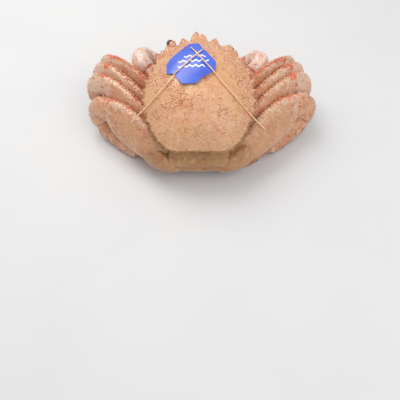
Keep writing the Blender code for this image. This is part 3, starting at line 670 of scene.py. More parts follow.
class Effects:
    """The node groups that several finishes share."""

    def __init__(self) -> None:
        """Builds each group once."""
        self.shell_colour = self.build_shell_colour()
        self.specks = self.build_specks()
        self.grain = self.build_grain()

    @staticmethod
    def build_shell_colour() -> NodeTree:
        """The colour of a shell and of what grows on it: a mottled ground, and its tones over it."""
        colours = {name.title(): (0.8, 0.6, 0.4, 1.0) for name in COLOURS}
        shares = {f"{name.title()} share": 0.0 for name in TONES}
        group = Group("shell_colour", {"Vector": None, "Size": 12.0, **colours, **shares}, ["Color"])
        start, place = group.start, group.start["Vector"]
        scale = group.math("DIVIDE", 1000.0, start["Size"])
        wide = group.clouds(place, scale, 4.0, 0.6)
        fine = group.clouds(place, group.times(scale, 3.1), 5.0, 0.65, 3.0)
        colour = group.mix(group.ramp(wide, 0.42, 0.66), start["Ground"], start["Blush"])
        colour = group.mix(group.ramp(fine, 0.50, 0.74), colour, start["Cream"])
        for name, mask in (
            ("Pale", group.times(group.patches(place, 3.2, start["Pale share"], 1.0, 0.3), 0.9)),
            ("Olive", group.times(start["Olive share"], 0.85)),
            ("Warm", group.patches(place, 3.4, start["Warm share"], 5.0, 0.14)),
            # Deep lays painted shade, in soft patches, as far as the tone's deep share reaches.
            ("Deep", group.patches(place, 2.6, start["Deep share"], 9.0, 0.45)),
            ("Horn", group.ramp(start["Horn share"], 0.2, 0.75)),
        ):
            colour = group.mix(mask, colour, start[name])
        return group.end({"Color": colour})

    @staticmethod
    def build_specks() -> NodeTree:
        """Small round spots of uneven size, as many as their share says, each with a ring for a painted
        highlight round it; the brighter ones (Glint) are painted glints.
        """
        group = Group(
            "specks", {"Vector": None, "Gap": 3.0, "Size": 0.22, "Share": 0.5},
            ("Mask", "Ring", "Rise", "Streak", "Glint", "Line", "Furrow"),
        )
        start, place = group.start, group.start["Vector"]
        scale = group.math("DIVIDE", 1000.0, start["Gap"])
        cells = group.node("TexVoronoi", {"Vector": place, "Scale": scale, "Randomness": 0.9})
        draw = group.node("SeparateColor", {0: cells.outputs["Color"]}).outputs
        shown = group.math("LESS_THAN", draw[0], start["Share"])
        size = group.times(start["Size"], group.scaled(draw[1], 0.7, 0.6))
        away = group.math("DIVIDE", cells.outputs["Distance"], size)
        spot = group.math("SUBTRACT", 1.0, away, clamp=True)
        round_spot = group.math("ABSOLUTE", group.math("SUBTRACT", away, 1.45))
        ring = group.math("SUBTRACT", 1.0, round_spot, clamp=True)
        # bright picks the spots that become painted glints.
        bright = group.times(shown, group.math("GREATER_THAN", draw[2], 0.6))
        shown = group.math("SUBTRACT", shown, bright)
        swirl = group.node("TexNoise", {"Vector": place, "Scale": 120.0, "Detail": 2.0, "Distortion": 1.2})
        wave = group.math("SINE", group.times(swirl.outputs[0], 42.0))
        broken = group.ramp(group.clouds(place, 420.0), 0.44, 0.58)
        mask = group.ramp(spot, 0.0, 0.4)
        return group.end({
            "Glint": group.times(mask, bright),
            "Line": group.times(group.ramp(wave, 0.55, 1.0), broken),
            "Furrow": group.times(group.ramp(wave, -0.55, -1.0), broken),
            "Mask": group.times(mask, shown),
            "Ring": group.times(group.ramp(ring, 0.3, 1.0), shown),
            "Rise": group.times(spot, shown),
            "Streak": group.patches(place, 2.4, group.times(start["Share"], 0.5), 13.0, 0.2),
        })

    @staticmethod
    def build_grain() -> NodeTree:
        """The fine pits and waves of a shell's surface, as a height."""
        group = Group("grain", {"Vector": None, "Size": 0.6}, ("Height", "Mask"))
        place = group.start["Vector"]
        scale = group.math("DIVIDE", 1000.0, group.start["Size"])
        pits = group.node("TexVoronoi", {"Vector": place, "Scale": scale}, feature="SMOOTH_F1")
        wide = group.clouds(place, group.times(scale, 0.16), 3.0)
        deep = group.times(pits.outputs["Distance"], 0.5)
        fine = group.scaled(group.clouds(place, scale, 5.0, 0.7), 0.6, deep)
        return group.end({"Height": group.scaled(wide, 0.4, fine), "Mask": wide})


class Paint(Graph):
    """A new material, with its shader and the coordinates that its patterns follow."""

    def __init__(self, name: str) -> None:
        """Makes the material."""
        self.material = bpy.data.materials.new(name)
        self.material.use_nodes = True
        super().__init__(self.material.node_tree)
        self.place = self.node("TexCoord").outputs["Object"]

    def held(self, name: str) -> Socket:
        """The value that the mesh holds under a name."""
        return self.node("Attribute", attribute_name=name).outputs["Fac"]

    def shaded(self, colour: Socket, rough: Socket, height: Socket | None = None, bump: float = 0.0,
               depth: float = 0.0, **settings: float) -> Material:
        """Joins the shader's inputs.

        Args:
            colour: the base colour.
            rough: the roughness.
            height: the surface's relief, where it has one.
            bump: how strongly the relief shows.
            depth: how deep it is, in metres.
            settings: the shader's other inputs, in lower case and with underscores.

        Returns:
            The material.
        """
        shader = self.tree.nodes["Principled BSDF"]
        self.feed(shader, {"Base Color": colour, "Roughness": rough})
        if height is not None:
            relief = self.node("Bump", {"Height": height, "Strength": bump, "Distance": depth})
            self.feed(shader, {"Normal": relief.outputs[0]})
        names = {name: name.replace("_", " ").title().replace("Ior", "IOR") for name in settings}
        self.feed(shader, {names[name]: value for name, value in settings.items()})
        return self.material


@dataclass(frozen=True)
class ShellFinish:
    """The finish of a boiled shell: a mottled ground with red-brown spots, painted glints and painted
    highlight rings round the spots, and other colours by its tone.

    Colours are as a screen shows them, and sizes are in millimetres.
    """

    name: str
    ground: Colour = (222, 168, 117)
    blush: Colour = (222, 164, 129)
    cream: Colour = (236, 196, 156)
    warm: Colour = (222, 94, 34)
    pale: Colour = (216, 172, 126)
    olive: Colour = (158, 114, 50)
    # deep: the red-brown of painted shade, under the shell's edge and between parts.
    deep: Colour = (112, 50, 34)
    horn: Colour = (50, 28, 20)
    spot: Colour = (154, 76, 48)
    # halo: the pale painted highlight round each spot, also used for the swirl lines.
    halo: Colour = (240, 184, 146)
    streak: Colour = (214, 126, 76)
    # glint: painted glints on the brightest spots.
    glint: Colour = (250, 226, 204)
    swirl: float = 0.95
    mottle_size: float = 17.0
    spot_gap: float = 2.3
    spot_size: float = 0.31
    grain_size: float = 0.9
    bump: float = 0.42
    roughness: Pair = (0.28, 0.5)
    coat: float = 0.55
    sheen: float = 0.12

    def colour(self, paint: Paint, effects: Effects) -> tuple[Socket, dict[str, Socket]]:
        """Places the shell's colour, which follows the place and the tones that the mesh holds.

        Args:
            paint: places the nodes.
            effects: the shared node groups.

        Returns:
            The colour, and each tone's share by name.
        """
        shares = {name: paint.held(name) for name in TONES}
        links = {name.title(): linear(getattr(self, name)) for name in COLOURS}
        links |= {f"{name.title()} share": share for name, share in shares.items()}
        links |= {"Vector": paint.place, "Size": self.mottle_size}
        return paint.node("Group", links, node_tree=effects.shell_colour).outputs[0], shares

    def build(self, effects: Effects) -> Material:
        """Makes the material from the shared node groups."""
        paint = Paint(self.name)
        colour = self.colour(paint, effects)[0]
        links = {"Vector": paint.place, "Gap": self.spot_gap, "Size": self.spot_size}
        links["Share"] = paint.held("specks")
        specks = paint.node("Group", links, node_tree=effects.specks).outputs
        links = {"Vector": paint.place, "Size": self.grain_size}
        grain = paint.node("Group", links, node_tree=effects.grain).outputs
        # Glint paints glints on the bright spots, and Ring a painted highlight round each spot.
        for output, share, tint in (
            ("Streak", 0.6, self.streak), ("Line", self.swirl, self.halo),
            ("Furrow", self.swirl * 0.8, self.streak), ("Glint", 0.8, self.glint), ("Ring", 0.55, self.halo),
            ("Mask", 0.9, self.spot),
        ):
            colour = paint.mix(paint.times(specks[output], share), colour, linear(tint))
        low, high = self.roughness
        height = paint.scaled(specks["Line"], 0.35, paint.scaled(specks["Rise"], 0.9, grain["Height"]))
        return paint.shaded(
            colour, paint.scaled(grain["Mask"], high - low, low), height, self.bump, 0.0004,
            coat_weight=self.coat, coat_roughness=0.22, specular_ior_level=0.45, sheen_weight=self.sheen,
            sheen_roughness=0.4,
        )


@dataclass(frozen=True)
class GrownFinish:
    """The finish of what grows on a shell: the shell's own colour at its root, and its own at its tip."""

    kind: str
    tip: Colour
    other: Colour
    strength: float
    roughness: float
    coat: float

    def build(self, effects: Effects, shell: ShellFinish) -> Material:
        """Makes the material.

        Args:
            effects: the shared node groups.
            shell: the finish of what it grows on.

        Returns:
            The material.
        """
        paint = Paint(f"{shell.name}_{self.kind}")
        colour, shares = shell.colour(paint, effects)
        own = paint.mix(paint.ramp(paint.held("shade"), 0.38, 0.62), linear(self.tip), linear(self.other))
        # The copies take the shell's pale and horn, and its painted shade (deep).
        for name, share in (("pale", 0.45), ("horn", 0.9), ("deep", 0.6)):
            own = paint.mix(paint.times(shares[name], share), own, linear(getattr(shell, name)))
        tip = paint.times(paint.ramp(paint.held("tip"), 0.05, 0.7), self.strength)
        rough = paint.scaled(paint.clouds(paint.place, 2600.0), 0.2, self.roughness - 0.1)
        return paint.shaded(paint.mix(tip, colour, own), rough, coat_weight=self.coat)


@dataclass(frozen=True)
class Coat:
    """The materials of a shell and of what grows on it."""

    skin: Material
    granule: Material
    spine: Material
    bristle: Material

    @classmethod
    def build(cls, effects: Effects, shell: ShellFinish) -> Coat:
        """Makes the four materials from the shell's finish."""
        granule = GrownFinish("tubercle", (182, 86, 46), (248, 206, 162), 0.85, 0.34, 0.5)
        spine = GrownFinish("spine", (248, 216, 180), (232, 160, 112), 0.8, 0.32, 0.5)
        bristle = GrownFinish("bristle", (236, 194, 146), (170, 96, 56), 0.75, 0.5, 0.1)
        grown = [finish.build(effects, shell) for finish in (granule, spine, bristle)]
        return cls(shell.build(effects), *grown)


@dataclass(frozen=True)
class EyeFinish:
    """The dark, wet cornea, with the fine grid of its facets."""

    colour: Colour = (58, 30, 20)
    glow: Colour = (150, 78, 44)

    def build(self) -> Material:
        """Makes the material."""
        paint = Paint("cornea")
        clouds = paint.clouds(paint.place, 420.0)
        facets = paint.node("TexVoronoi", {"Vector": paint.place, "Scale": 4800.0, "Randomness": 0.2})
        return paint.shaded(
            paint.mix(paint.ramp(clouds, 0.45, 0.8), linear(self.colour), linear(self.glow)),
            paint.scaled(clouds, 0.16, 0.18), facets.outputs["Distance"], 0.15, 0.0001,
            specular_ior_level=0.35, coat_weight=0.35, coat_roughness=0.08,
        )


@dataclass(frozen=True)
class TagFinish:
    """A glossy blue tag with a plain white wave pattern and a pale cut edge."""

    blue: Colour = (72, 108, 224)
    deep: Colour = (58, 88, 210)
    print_white: Colour = (236, 240, 248)
    cut_edge: Colour = (150, 172, 244)

    def build(self) -> Material:
        """Makes the material."""
        paint = Paint("blue_tag")
        parts = paint.node("SeparateXYZ", {0: paint.node("UVMap", uv_map="flat").outputs[0]}).outputs
        clouds = paint.clouds(paint.place, 60.0, 3.0)
        colour = paint.mix(paint.ramp(clouds, 0.35, 0.7), linear(self.blue), linear(self.deep))
        colour = paint.mix(self.waves(paint, parts), colour, linear(self.print_white))
        colour = paint.mix(paint.ramp(paint.held("edge"), 0.3, 0.9), colour, linear(self.cut_edge))
        dents = paint.clouds(paint.place, 160.0, 3.0)
        rough = paint.scaled(dents, 0.16, 0.26)
        return paint.shaded(colour, rough, dents, 0.25, 0.0008, coat_weight=0.4, coat_roughness=0.15)

    @staticmethod
    def waves(graph: Graph, parts: Sequence[Socket]) -> Socket:
        """Three wavy lines across the tag, as a mask.

        Args:
            graph: places the nodes.
            parts: the unwrap's u and v, which run 0 to 1 over the tag.

        Returns:
            The mask.
        """
        swing = graph.times(graph.math("SINE", graph.times(parts[0], 50.0)), 0.018)
        mask = None
        for middle, first, last in ((0.62, 0.36, 0.80), (0.50, 0.24, 0.86), (0.38, 0.24, 0.78)):
            away = graph.math("SUBTRACT", graph.math("ADD", parts[1], swing), middle)
            line = graph.math("LESS_THAN", graph.math("ABSOLUTE", away), 0.017)
            for limit, kind in ((first, "GREATER_THAN"), (last, "LESS_THAN")):
                line = graph.times(line, graph.math(kind, parts[0], limit))
            mask = line if mask is None else graph.math("MAXIMUM", mask, line)
        return mask


@dataclass(frozen=True)
class PlainFinish:
    """A matte finish with a second colour in clouds of a size in mm, for the elastic and the floor."""

    name: str
    colour: Colour
    other: Colour
    cloud: float
    roughness: float
    bump: float

    def build(self) -> Material:
        """Makes the material."""
        paint = Paint(self.name)
        clouds = paint.clouds(paint.place, 1000.0 / self.cloud, 3.0)
        colour = paint.mix(paint.ramp(clouds, 0.35, 0.7), linear(self.colour), linear(self.other))
        rough = paint.scaled(clouds, 0.1, self.roughness - 0.05)
        return paint.shaded(colour, rough, clouds, self.bump, 0.0002)


class Finishes:
    """Every material of the model."""

    def __init__(self) -> None:
        """Builds them all."""
        effects = Effects()
        limb = ShellFinish(
            "limb_shell", ground=(216, 158, 116), blush=(206, 136, 98), cream=(230, 190, 150),
            pale=(230, 194, 166), warm=(216, 92, 42), halo=(238, 190, 154), streak=(200, 104, 56), swirl=0.15,
            mottle_size=12.0, spot_gap=2.0, sheen=0.3,
        )
        claw = replace(
            limb, name="claw_shell", ground=(242, 202, 174), blush=(232, 170, 136), cream=(246, 220, 202),
            pale=(244, 216, 202), olive=(214, 142, 100), halo=(242, 208, 190), streak=(218, 146, 112),
            mottle_size=16.0, sheen=0.15,
        )
        under = ShellFinish(
            "under_shell", ground=(180, 130, 82), blush=(168, 110, 64), cream=(206, 166, 112),
            pale=(194, 148, 98), warm=(202, 104, 52), halo=(216, 172, 122), streak=(164, 100, 54),
            glint=(206, 162, 110), swirl=0.25,
        )
        self.shell, self.limb, self.claw, self.under = (
            Coat.build(effects, finish) for finish in (ShellFinish("carapace_shell"), limb, claw, under)
        )
        self.membrane = replace(
            limb, name="joint_membrane", ground=(192, 116, 80), blush=(176, 84, 52), cream=(214, 152, 112),
            mottle_size=4.0, roughness=(0.22, 0.4), coat=0.6, bump=0.5,
        ).build(effects)
        self.cornea = EyeFinish().build()
        self.tag = TagFinish().build()
        self.elastic = PlainFinish("elastic", (250, 214, 178), (240, 188, 142), 2.0, 0.5, 0.3).build()
        self.floor = PlainFinish("floor", (224, 224, 224), (222, 222, 223), 90.0, 0.6, 0.0).build()


class Workshop:
    """Adds finished meshes to the scene, and counts them."""

    def __init__(self, finishes: Finishes) -> None:
        """Keeps the finishes."""
        self.finishes = finishes
        self.triangles = 0

    def add(self, name: str, shape: BMesh | bpy.types.Mesh, material: Material,
            slot: Slot, *nodes: str) -> None:
        """Adds a piece that rides on the model's one body.

        Args:
            name: the piece's name.
            shape: its mesh in the part's frame, in metres.
            material: its finish.
            slot: not used.
            nodes: the solids that it stands for.
        """
        mesh = shape
        if isinstance(shape, BMesh):
            mesh = bpy.data.meshes.new(name)
            shape.to_mesh(mesh)
            shape.free()
        mesh.polygons.foreach_set("use_smooth", [True] * len(mesh.polygons))
        mesh.materials.append(material)
        piece = bpy.data.objects.new(name, mesh)
        bpy.context.scene.collection.objects.link(piece)
        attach(piece, "root")
        if nodes:
            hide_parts(*nodes)
        count = sum(len(polygon.vertices) - 2 for polygon in mesh.polygons)
        self.triangles += count
        LOG.info("%s: %d triangles", name, count)

    def add_skin(self, skin: Skin, node: str, coat: Coat, slot: Slot = Slot.LIMB) -> None:
        """Adds a skin, which stands for a node."""
        self.add(f"skin_{node}", skin.shape(), coat.skin, slot, node)


@dataclass(frozen=True)
class Template:
    """A small shape that is repeated: its corners and its faces.

    A corner is (x, y, z, bend): x and y across, z along from root to tip, and its share of the copy's bend.
    """

    corners: np.ndarray
    faces: tuple[tuple[int, ...], ...]

    @classmethod
    def turned(cls, profile: Sequence[Pair], sides: int) -> Template:
        """A closed, pointed shape turned about z.

        Args:
            profile: (radius, height) of each loop from the root up, and then of the tip.
            sides: how many sides a loop has.

        Returns:
            The template.
        """
        shape = bmesh.new()
        ring = bmesh.ops.create_circle(shape, segments=sides, radius=1.0, cap_ends=True)["verts"]
        face = shape.faces[:][0]
        for level, (radius, height) in enumerate(profile[:-1]):
            if level:
                face = bmesh.ops.extrude_discrete_faces(shape, faces=[face])["faces"][0]
                ring = list(face.verts)
            for vert in ring:
                vert.co = (*(vert.co.xy.normalized() * radius), height)
        bmesh.ops.holes_fill(shape, edges=[edge for edge in shape.edges if edge.is_boundary])
        bmesh.ops.poke(shape, faces=[face])["verts"][0].co = (0.0, 0.0, profile[-1][1])
        bmesh.ops.recalc_face_normals(shape, faces=shape.faces)
        shape.verts.index_update()
        corners = np.array([(*vert.co, max(vert.co.z, 0.0) ** 2) for vert in shape.verts])
        faces = tuple(tuple(vert.index for vert in face.verts) for face in shape.faces)
        shape.free()
        return cls(corners, faces)


@dataclass
class Copies:
    """The placed copies of a template, joined into one mesh."""

    template: Template
    patch_size: float = 0.003
    origins: list[Vector] = field(default_factory=list)
    frames: list[tuple[Vector, Vector, Vector, Vector]] = field(default_factory=list)
    patches: list[Pair] = field(default_factory=list)
    shades: list[float] = field(default_factory=list)
    tones: list[tuple[float, ...]] = field(default_factory=list)

    def place(self, root: Root, origin: Vector, along: Vector, thick: float, length: float, bend: Vector,
              shade: float) -> None:
        """Places a copy, unless it would reach the floor.

        Args:
            root: the place of the skin that it grows from.
            origin: where its own root is.
            along: the unit direction that it points in.
            thick: the scale across it.
            length: the scale along it.
            bend: how far its tip is moved aside.
            shade: which shade it has, from 0 to 1.
        """
        if origin.z + min(along.z, 0.0) * length + min(bend.z, 0.0) - thick < 0.0:
            return
        across = along.orthogonal().normalized()
        self.origins.append(origin)
        self.frames.append((across * thick, along.cross(across) * thick, along * length, bend))
        self.patches.append(root.patch)
        self.shades.append(shade)
        self.tones.append(root.tone.values())

    def mesh(self, name: str) -> bpy.types.Mesh:
        """The copies as one mesh."""
        corners, faces = self.template.corners, self.template.faces
        count, size = len(self.origins), len(corners)
        frames = np.array([[tuple(axis) for axis in frame] for frame in self.frames])
        origins = np.array([tuple(origin) for origin in self.origins])
        points = np.einsum("mj,njk->nmk", corners, frames) + origins[:, None, :]
        made = bpy.data.meshes.new(name)
        listed = [tuple(index + k * size for index in face) for k in range(count) for face in faces]
        made.from_pydata(points.reshape(-1, 3).tolist(), [], listed)
        tones = np.repeat(np.array(self.tones), size, axis=0)
        layers = {"tip": np.tile(corners[:, 2], count), "shade": np.repeat(self.shades, size)}
        for key, values in (*layers.items(), *zip(LAYERS, tones.T)):
            layer = made.attributes.new(key, "FLOAT", "POINT")
            layer.data.foreach_set("value", np.clip(values, 0.0, 1.0).astype(np.float32))
        flat = corners[:, :2] / max(np.abs(corners[:, :2]).max(), 1e-6) * 0.35 + corners[:, 2:3] * (0.0, 0.15)
        spots = (np.array(self.patches)[:, None, :] + flat[None] * self.patch_size).reshape(-1, 2)
        loops = np.empty(len(made.loops), np.int32)
        made.loops.foreach_get("vertex_index", loops)
        unwrap = made.uv_layers.new(name="OFBake")
        unwrap.data.foreach_set("uv", spots[loops].astype(np.float32).reshape(-1))
        return made


GRANULE = Template.turned(((1.0, -0.55), (0.86, 0.08), (0.58, 0.62), (0.26, 0.92), (0.0, 1.0)), 6)
SPINE = Template.turned(((1.0, -0.30), (0.88, 0.05), (0.60, 0.38), (0.30, 0.74), (0.0, 1.0)), 7)
BLADE = Template.turned(((1.0, -0.10), (0.80, 0.45), (0.0, 1.0)), 3)


@dataclass(frozen=True)
class Row:
    """A row of spines: where it runs round the limb, its start and end along it, and a spine's length."""

    turn: float
    first: float
    last: float
    count: int
    length: float


@dataclass
class Growth:
    """What grows on a group of skins: tubercles, spines and bristles."""

    dice: random.Random
    granules: Copies = field(default_factory=lambda: Copies(GRANULE))
    spines: Copies = field(default_factory=lambda: Copies(SPINE))
    bristles: Copies = field(default_factory=lambda: Copies(BLADE))

    def granule(self, root: Root, radius: float, height: float) -> None:
        """Grows a low, round tubercle, with sizes in millimetres."""
        size = self.dice.uniform(0.75, 1.25)
        along = (root.normal + root.lie * 0.15).normalized()
        wide, tall = radius * size * MM, height * size * MM
        self.granules.place(root, root.point, along, wide, tall, Vector(), self.dice.random())

    def spine(self, root: Root, height: float, radius: float) -> None:
        """Grows a pointed spine that leans along the lie, with sizes in millimetres."""
        size = self.dice.uniform(0.82, 1.15)
        along = (root.normal + root.lie * 0.35).normalized()
        wide, tall, bend = radius * size * MM, height * size * MM, root.lie * (height * 0.12 * MM)
        self.spines.place(root, root.point, along, wide, tall, bend, self.dice.random())

    def tuft(self, root: Root, length: float, blades: int, rise: float, spread: float = 0.5) -> None:
        """Grows a tuft of stiff bristles.

        Args:
            root: where it grows.
            length: a bristle's length in millimetres.
            blades: how many bristles it has.
            rise: how steeply they stand, against how far they lie along.
            spread: how far they fan out sideways.
        """
        aside = root.normal.cross(root.lie).normalized()
        for _ in range(blades):
            fan = self.dice.uniform(-spread, spread)
            steep = rise * self.dice.uniform(0.6, 1.4)
            along = (root.lie + root.normal * steep + aside * fan).normalized()
            size = length * self.dice.uniform(0.7, 1.2) * MM
            start = root.point + aside * (self.dice.uniform(-0.35, 0.35) * MM) - root.normal * (0.1 * MM)
            bend = root.lie * (size * 0.16)
            self.bristles.place(root, start, along, 0.1 * MM, size, bend, self.dice.random())

    def row(self, skin: Skin, row: Row) -> None:
        """Grows a row of spines on a limb."""
        for n in range(row.count):
            v = row.first + (row.last - row.first) * (n + 0.5 + self.dice.uniform(-0.22, 0.22)) / row.count
            u = row.turn + self.dice.uniform(-0.008, 0.008)
            self.spine(skin.root(u, v), row.length, 0.5 + 0.22 * row.length)

    def scatter(self, skin: Skin, granules: int, tufts: int, first: float, length: float) -> None:
        """Scatters granules and tufts over a limb, closer near its ridge.

        Args:
            skin: the limb's skin.
            granules: how many granules there are.
            tufts: how many tufts.
            first: where they start along the limb.
            length: a bristle's length, in millimetres.
        """
        dice = self.dice
        for _ in range(granules):
            u = dice.gauss(0.0, 0.16) if dice.random() < 0.65 else dice.random()
            self.granule(skin.root(u, dice.uniform(first, 0.97)), 0.36, 0.30)
        for _ in range(tufts):
            u = dice.gauss(0.0, 0.17) if dice.random() < 0.6 else dice.random()
            self.tuft(skin.root(u, dice.uniform(first, 0.96), dice.uniform(-0.3, 0.3)), length, 3, 0.35)

    def add_to(self, shop: Workshop, name: str, slot: Slot, coat: Coat) -> None:
        """Adds what has grown as pieces of their own.

        Args:
            shop: adds them to the scene.
            name: what they grow on.
            slot: the record's slot of what they grow on.
            coat: their materials.
        """
        for kind, copies, material in (
            ("tubercles", self.granules, coat.granule), ("spines", self.spines, coat.spine),
            ("bristles", self.bristles, coat.bristle),
        ):
            if copies.origins:
                shop.add(f"{name}_{kind}", copies.mesh(f"{name}_{kind}"), material, slot)


@dataclass
class Carapace:
    """The shell over the crab's back. Orbit is the middle of an eye's socket.

    Under has the lower face's loops, as (share of the way to the edge, depth), and crowded the places where
    the tubercles crowd, as a centre, two half sizes and a strength.
    """

    dome: Dome
    cells: int = 150
    granules: int = 2700
    bristles: int = 2600
    edge_tufts: int = 420
    fringe: int = 520
    orbit: Triple = (25.4, 43.4, -3.6)
    orbit_radius: float = 5.0
    under: tuple[Pair, ...] = (
        (1.0, -0.45), (0.992, -1.0), (0.975, -1.7), (0.955, -2.6), (0.93, -3.7), (0.90, -5.0), (0.86, -5.2),
        (0.70, -5.2), (0.40, -5.2),
    )
    crowded: Table = (
        (-10.0, -17.0, 21.0, 6.0, 0.75), (-31.0, -24.0, 11.0, 7.0, 0.6), (-23.0, -6.0, 7.0, 8.0, 0.6),
        (24.0, -21.0, 15.0, 8.0, 0.36), (2.0, -37.0, 4.0, 3.0, 0.3),
    )

    def surface(self, angle: float, share: float, drop: float) -> tuple[Vector, float]:
        """A place of the shell, with its teeth.

        Args:
            angle: radians from the front.
            share: the share of the way from the pole to the edge.
            drop: how far the place is below the edge, on the lower face.

        Returns:
            The place in the body's frame, and how near it is to a tooth's tip.
        """
        reach = share * self.dome.edge(angle)
        x, y = reach * math.sin(angle), SHELL_POLE_Y + reach * math.cos(angle)
        spot = Vector((x, y, drop)) if drop < 0 else self.dome.on(x, y, 0.0)
        near = ease(share, 0.90, 0.995) ** 1.5 if drop >= 0 else ease(share, 0.94, 1.0)
        if near <= 0:
            return spot, 0.0
        move, tip = self.dome.tooth_offset(angle)
        return self.hollowed(spot, angle, 1 - tip * near) + move * near, tip * near

    def hollowed(self, spot: Vector, angle: float, strength: float) -> Vector:
        """Moves a place that is inside an eye's socket back towards the socket's wall."""
        x, y, z = self.orbit
        away = spot - Vector((math.copysign(x, spot.x), y, z))
        if away.length >= self.orbit_radius:
            return spot
        inward = -level_turn(angle)
        along = away.dot(inward)
        reach = -along + math.sqrt(along ** 2 + self.orbit_radius ** 2 - away.length_squared)
        return spot + inward * (reach * strength)

    def tone(self, x: float, y: float, share: float, tip: float, drop: float) -> Tone:
        """The shell's tone at a place of the body's frame."""
        rough = noise.noise(Vector((x, y, 3.0)) * 0.11)
        rear, front = ease(-y, 18, 46), ease(y, 26, 48)
        pale = rear * (0.30 + 0.35 * ease(share, 0.72, 0.96)) + 0.6 * rear * hump(share - 0.99, 0.03)
        pale += 0.3 * rough * rear
        mark = hump(abs(x) - 8.5, 3.2) * hump(y - 1.5, 1.6)
        mark = max(mark, hump(x, 1.6) * hump(y + 21, 5.0) * 0.7)
        outline = hump(share - 1.0, 0.014) * ease(y, 8, 30)
        warm = 0.95 * outline + mark * 0.5 + 0.12 * front + 0.5 * max(rough, 0.0) * front
        horn = ease(tip, 0.93, 1.0) * 0.6 * hump(x, 9.0) * ease(share, 0.97, 1.0) if y > 40 else 0.0
        olive = 0.9 * hump(drop + 1.4, 1.2) if drop < 0 else 0.0
        # The fourth share (deep) is painted shade on the shell's lower face, darker the further it lies below
        # the edge.
        return Tone(warm, pale, olive, ease(-drop, 2.0, 4.2) * 0.5, horn, self.crowd(x, y, share))

    def crowd(self, x: float, y: float, share: float) -> float:
        """How crowded its tubercles, bristles and specks are, from 0 to 1: in drifts, more at its sides."""
        front, side = ease(y, -20, 30), ease(share, 0.45, 0.9)
        wide, fine = noise.noise(Vector((x, y, 5.0)) * 0.062), noise.noise(Vector((x, y, 9.0)) * 0.17)
        near = max(
            strength * math.exp(-((x - left) / half_x) ** 2 - ((y - ahead) / half_y) ** 2)
            for left, ahead, half_x, half_y, strength in self.crowded
        )
        crowd = 0.30 * front + 0.34 * side + (0.6 * wide + 0.6 * fine) + near
        return ease(crowd, 0.1, 0.6) * (1 - 0.6 * ease(-y, 26, 42))

    def shape(self) -> BMesh:
        """The shell as a mesh in the body's frame."""
        shape = bmesh.new()
        bmesh.ops.create_grid(shape, x_segments=self.cells, y_segments=self.cells, size=1.0)
        keys = ("share", "turn", "drop", *LAYERS)
        for key in keys:
            shape.verts.layers.float.new(key)
        layers = {key: shape.verts.layers.float[key] for key in keys}
        for vert in shape.verts:
            a, b = vert.co.x, vert.co.y
            share = max(abs(a), abs(b))
            turn = 0.0
            if share > 0:
                turn = math.pi / 4 * (b / a if abs(a) > abs(b) else 2 - a / b)
                turn += math.pi if (a if abs(a) > abs(b) else b) < 0 else 0.0
            vert[layers["share"]], vert[layers["turn"]] = share, math.pi / 2 - turn
        rim = [edge for edge in shape.edges if edge.is_boundary]
        for share, drop in self.under:
            made = bmesh.ops.extrude_edge_only(shape, edges=rim)["geom"]
            rim = [item for item in made if isinstance(item, bmesh.types.BMEdge)]
            for vert in {vert for edge in rim for vert in edge.verts}:
                vert[layers["share"]], vert[layers["drop"]] = share, drop
        bmesh.ops.holes_fill(shape, edges=rim)
        bmesh.ops.poke(shape, faces=[face for face in shape.faces if len(face.verts) > 4])
        for vert in shape.verts:
            spot, tip = self.surface(vert[layers["turn"]], vert[layers["share"]], vert[layers["drop"]])
            vert.co = spot
            tone = self.tone(spot.x, spot.y, vert[layers["share"]], tip, vert[layers["drop"]])
            for key, value in zip(LAYERS, tone.values()):
                vert[layers[key]] = value
        bmesh.ops.recalc_face_normals(shape, faces=shape.faces)
        return shape

    def build(self, shop: Workshop, dice: random.Random) -> None:
        """Adds the shell with what grows on it.

        Args:
            shop: adds the pieces.
            dice: gives the random numbers.
        """
        shape = self.shape()
        bmesh.ops.transform(shape, matrix=body_matrix(), verts=shape.verts)
        shop.add("shell_skin", shape, shop.finishes.shell.skin, Slot.SHELL, "carapace")
        growth = Growth(dice)
        for k in range(self.granules):
            share = math.sqrt((k + 0.5) / self.granules) * 0.985
            root = self.root(k * GOLDEN_TURN + dice.uniform(-0.02, 0.02), share)
            if root and dice.random() < 0.05 + root.tone.specks:
                crowd = root.tone.specks
                growth.granule(root, 0.48 + 0.34 * crowd, 0.30 + 0.22 * crowd)
        for k in range(self.bristles):
            share = math.sqrt((k + 0.5) / self.bristles) * 0.99
            root = self.root(k * GOLDEN_TURN + 1.0, share)
            if root and dice.random() < 0.08 + 0.7 * root.tone.specks:
                growth.tuft(root, 1.2, 3, 0.2)
        self.edge_growth(growth, dice)
        growth.add_to(shop, "shell", Slot.SHELL, shop.finishes.shell)

    def root(self, angle: float, share: float, lie: Triple | None = None) -> Root | None:
        """A place on the shell for something to grow on, where the tag doesn't cover it.

        Args:
            angle: radians from the front.
            share: the share of the way from the pole to the edge.
            lie: the direction of the bristles in the body's frame, where it isn't forward along the skin.

        Returns:
            The root, or nothing under the tag.
        """
        spot, tip = self.surface(angle, share, 0.0)
        if inside(spot.x, spot.y, TAG_OUTLINE):
            return None
        step, height = 0.4, self.dome.height
        slope_x = height(spot.x + step, spot.y) - height(spot.x - step, spot.y)
        slope_y = height(spot.x, spot.y + step) - height(spot.x, spot.y - step)
        turn = body_matrix().to_3x3()
        out = (turn @ Vector((-slope_x, -slope_y, 2 * step))).normalized()
        along = turn @ Vector(lie or (spot.x * 0.012, 1.0, 0.0))
        if lie is None:
            along = along - out * along.dot(out)
        patch = (0.5 + spot.x / 130, 0.5 + spot.y / 130)
        tone = self.tone(spot.x, spot.y, share, tip, 0.0)
        return Root(body_matrix() @ spot, out, along.normalized(), patch, tone)

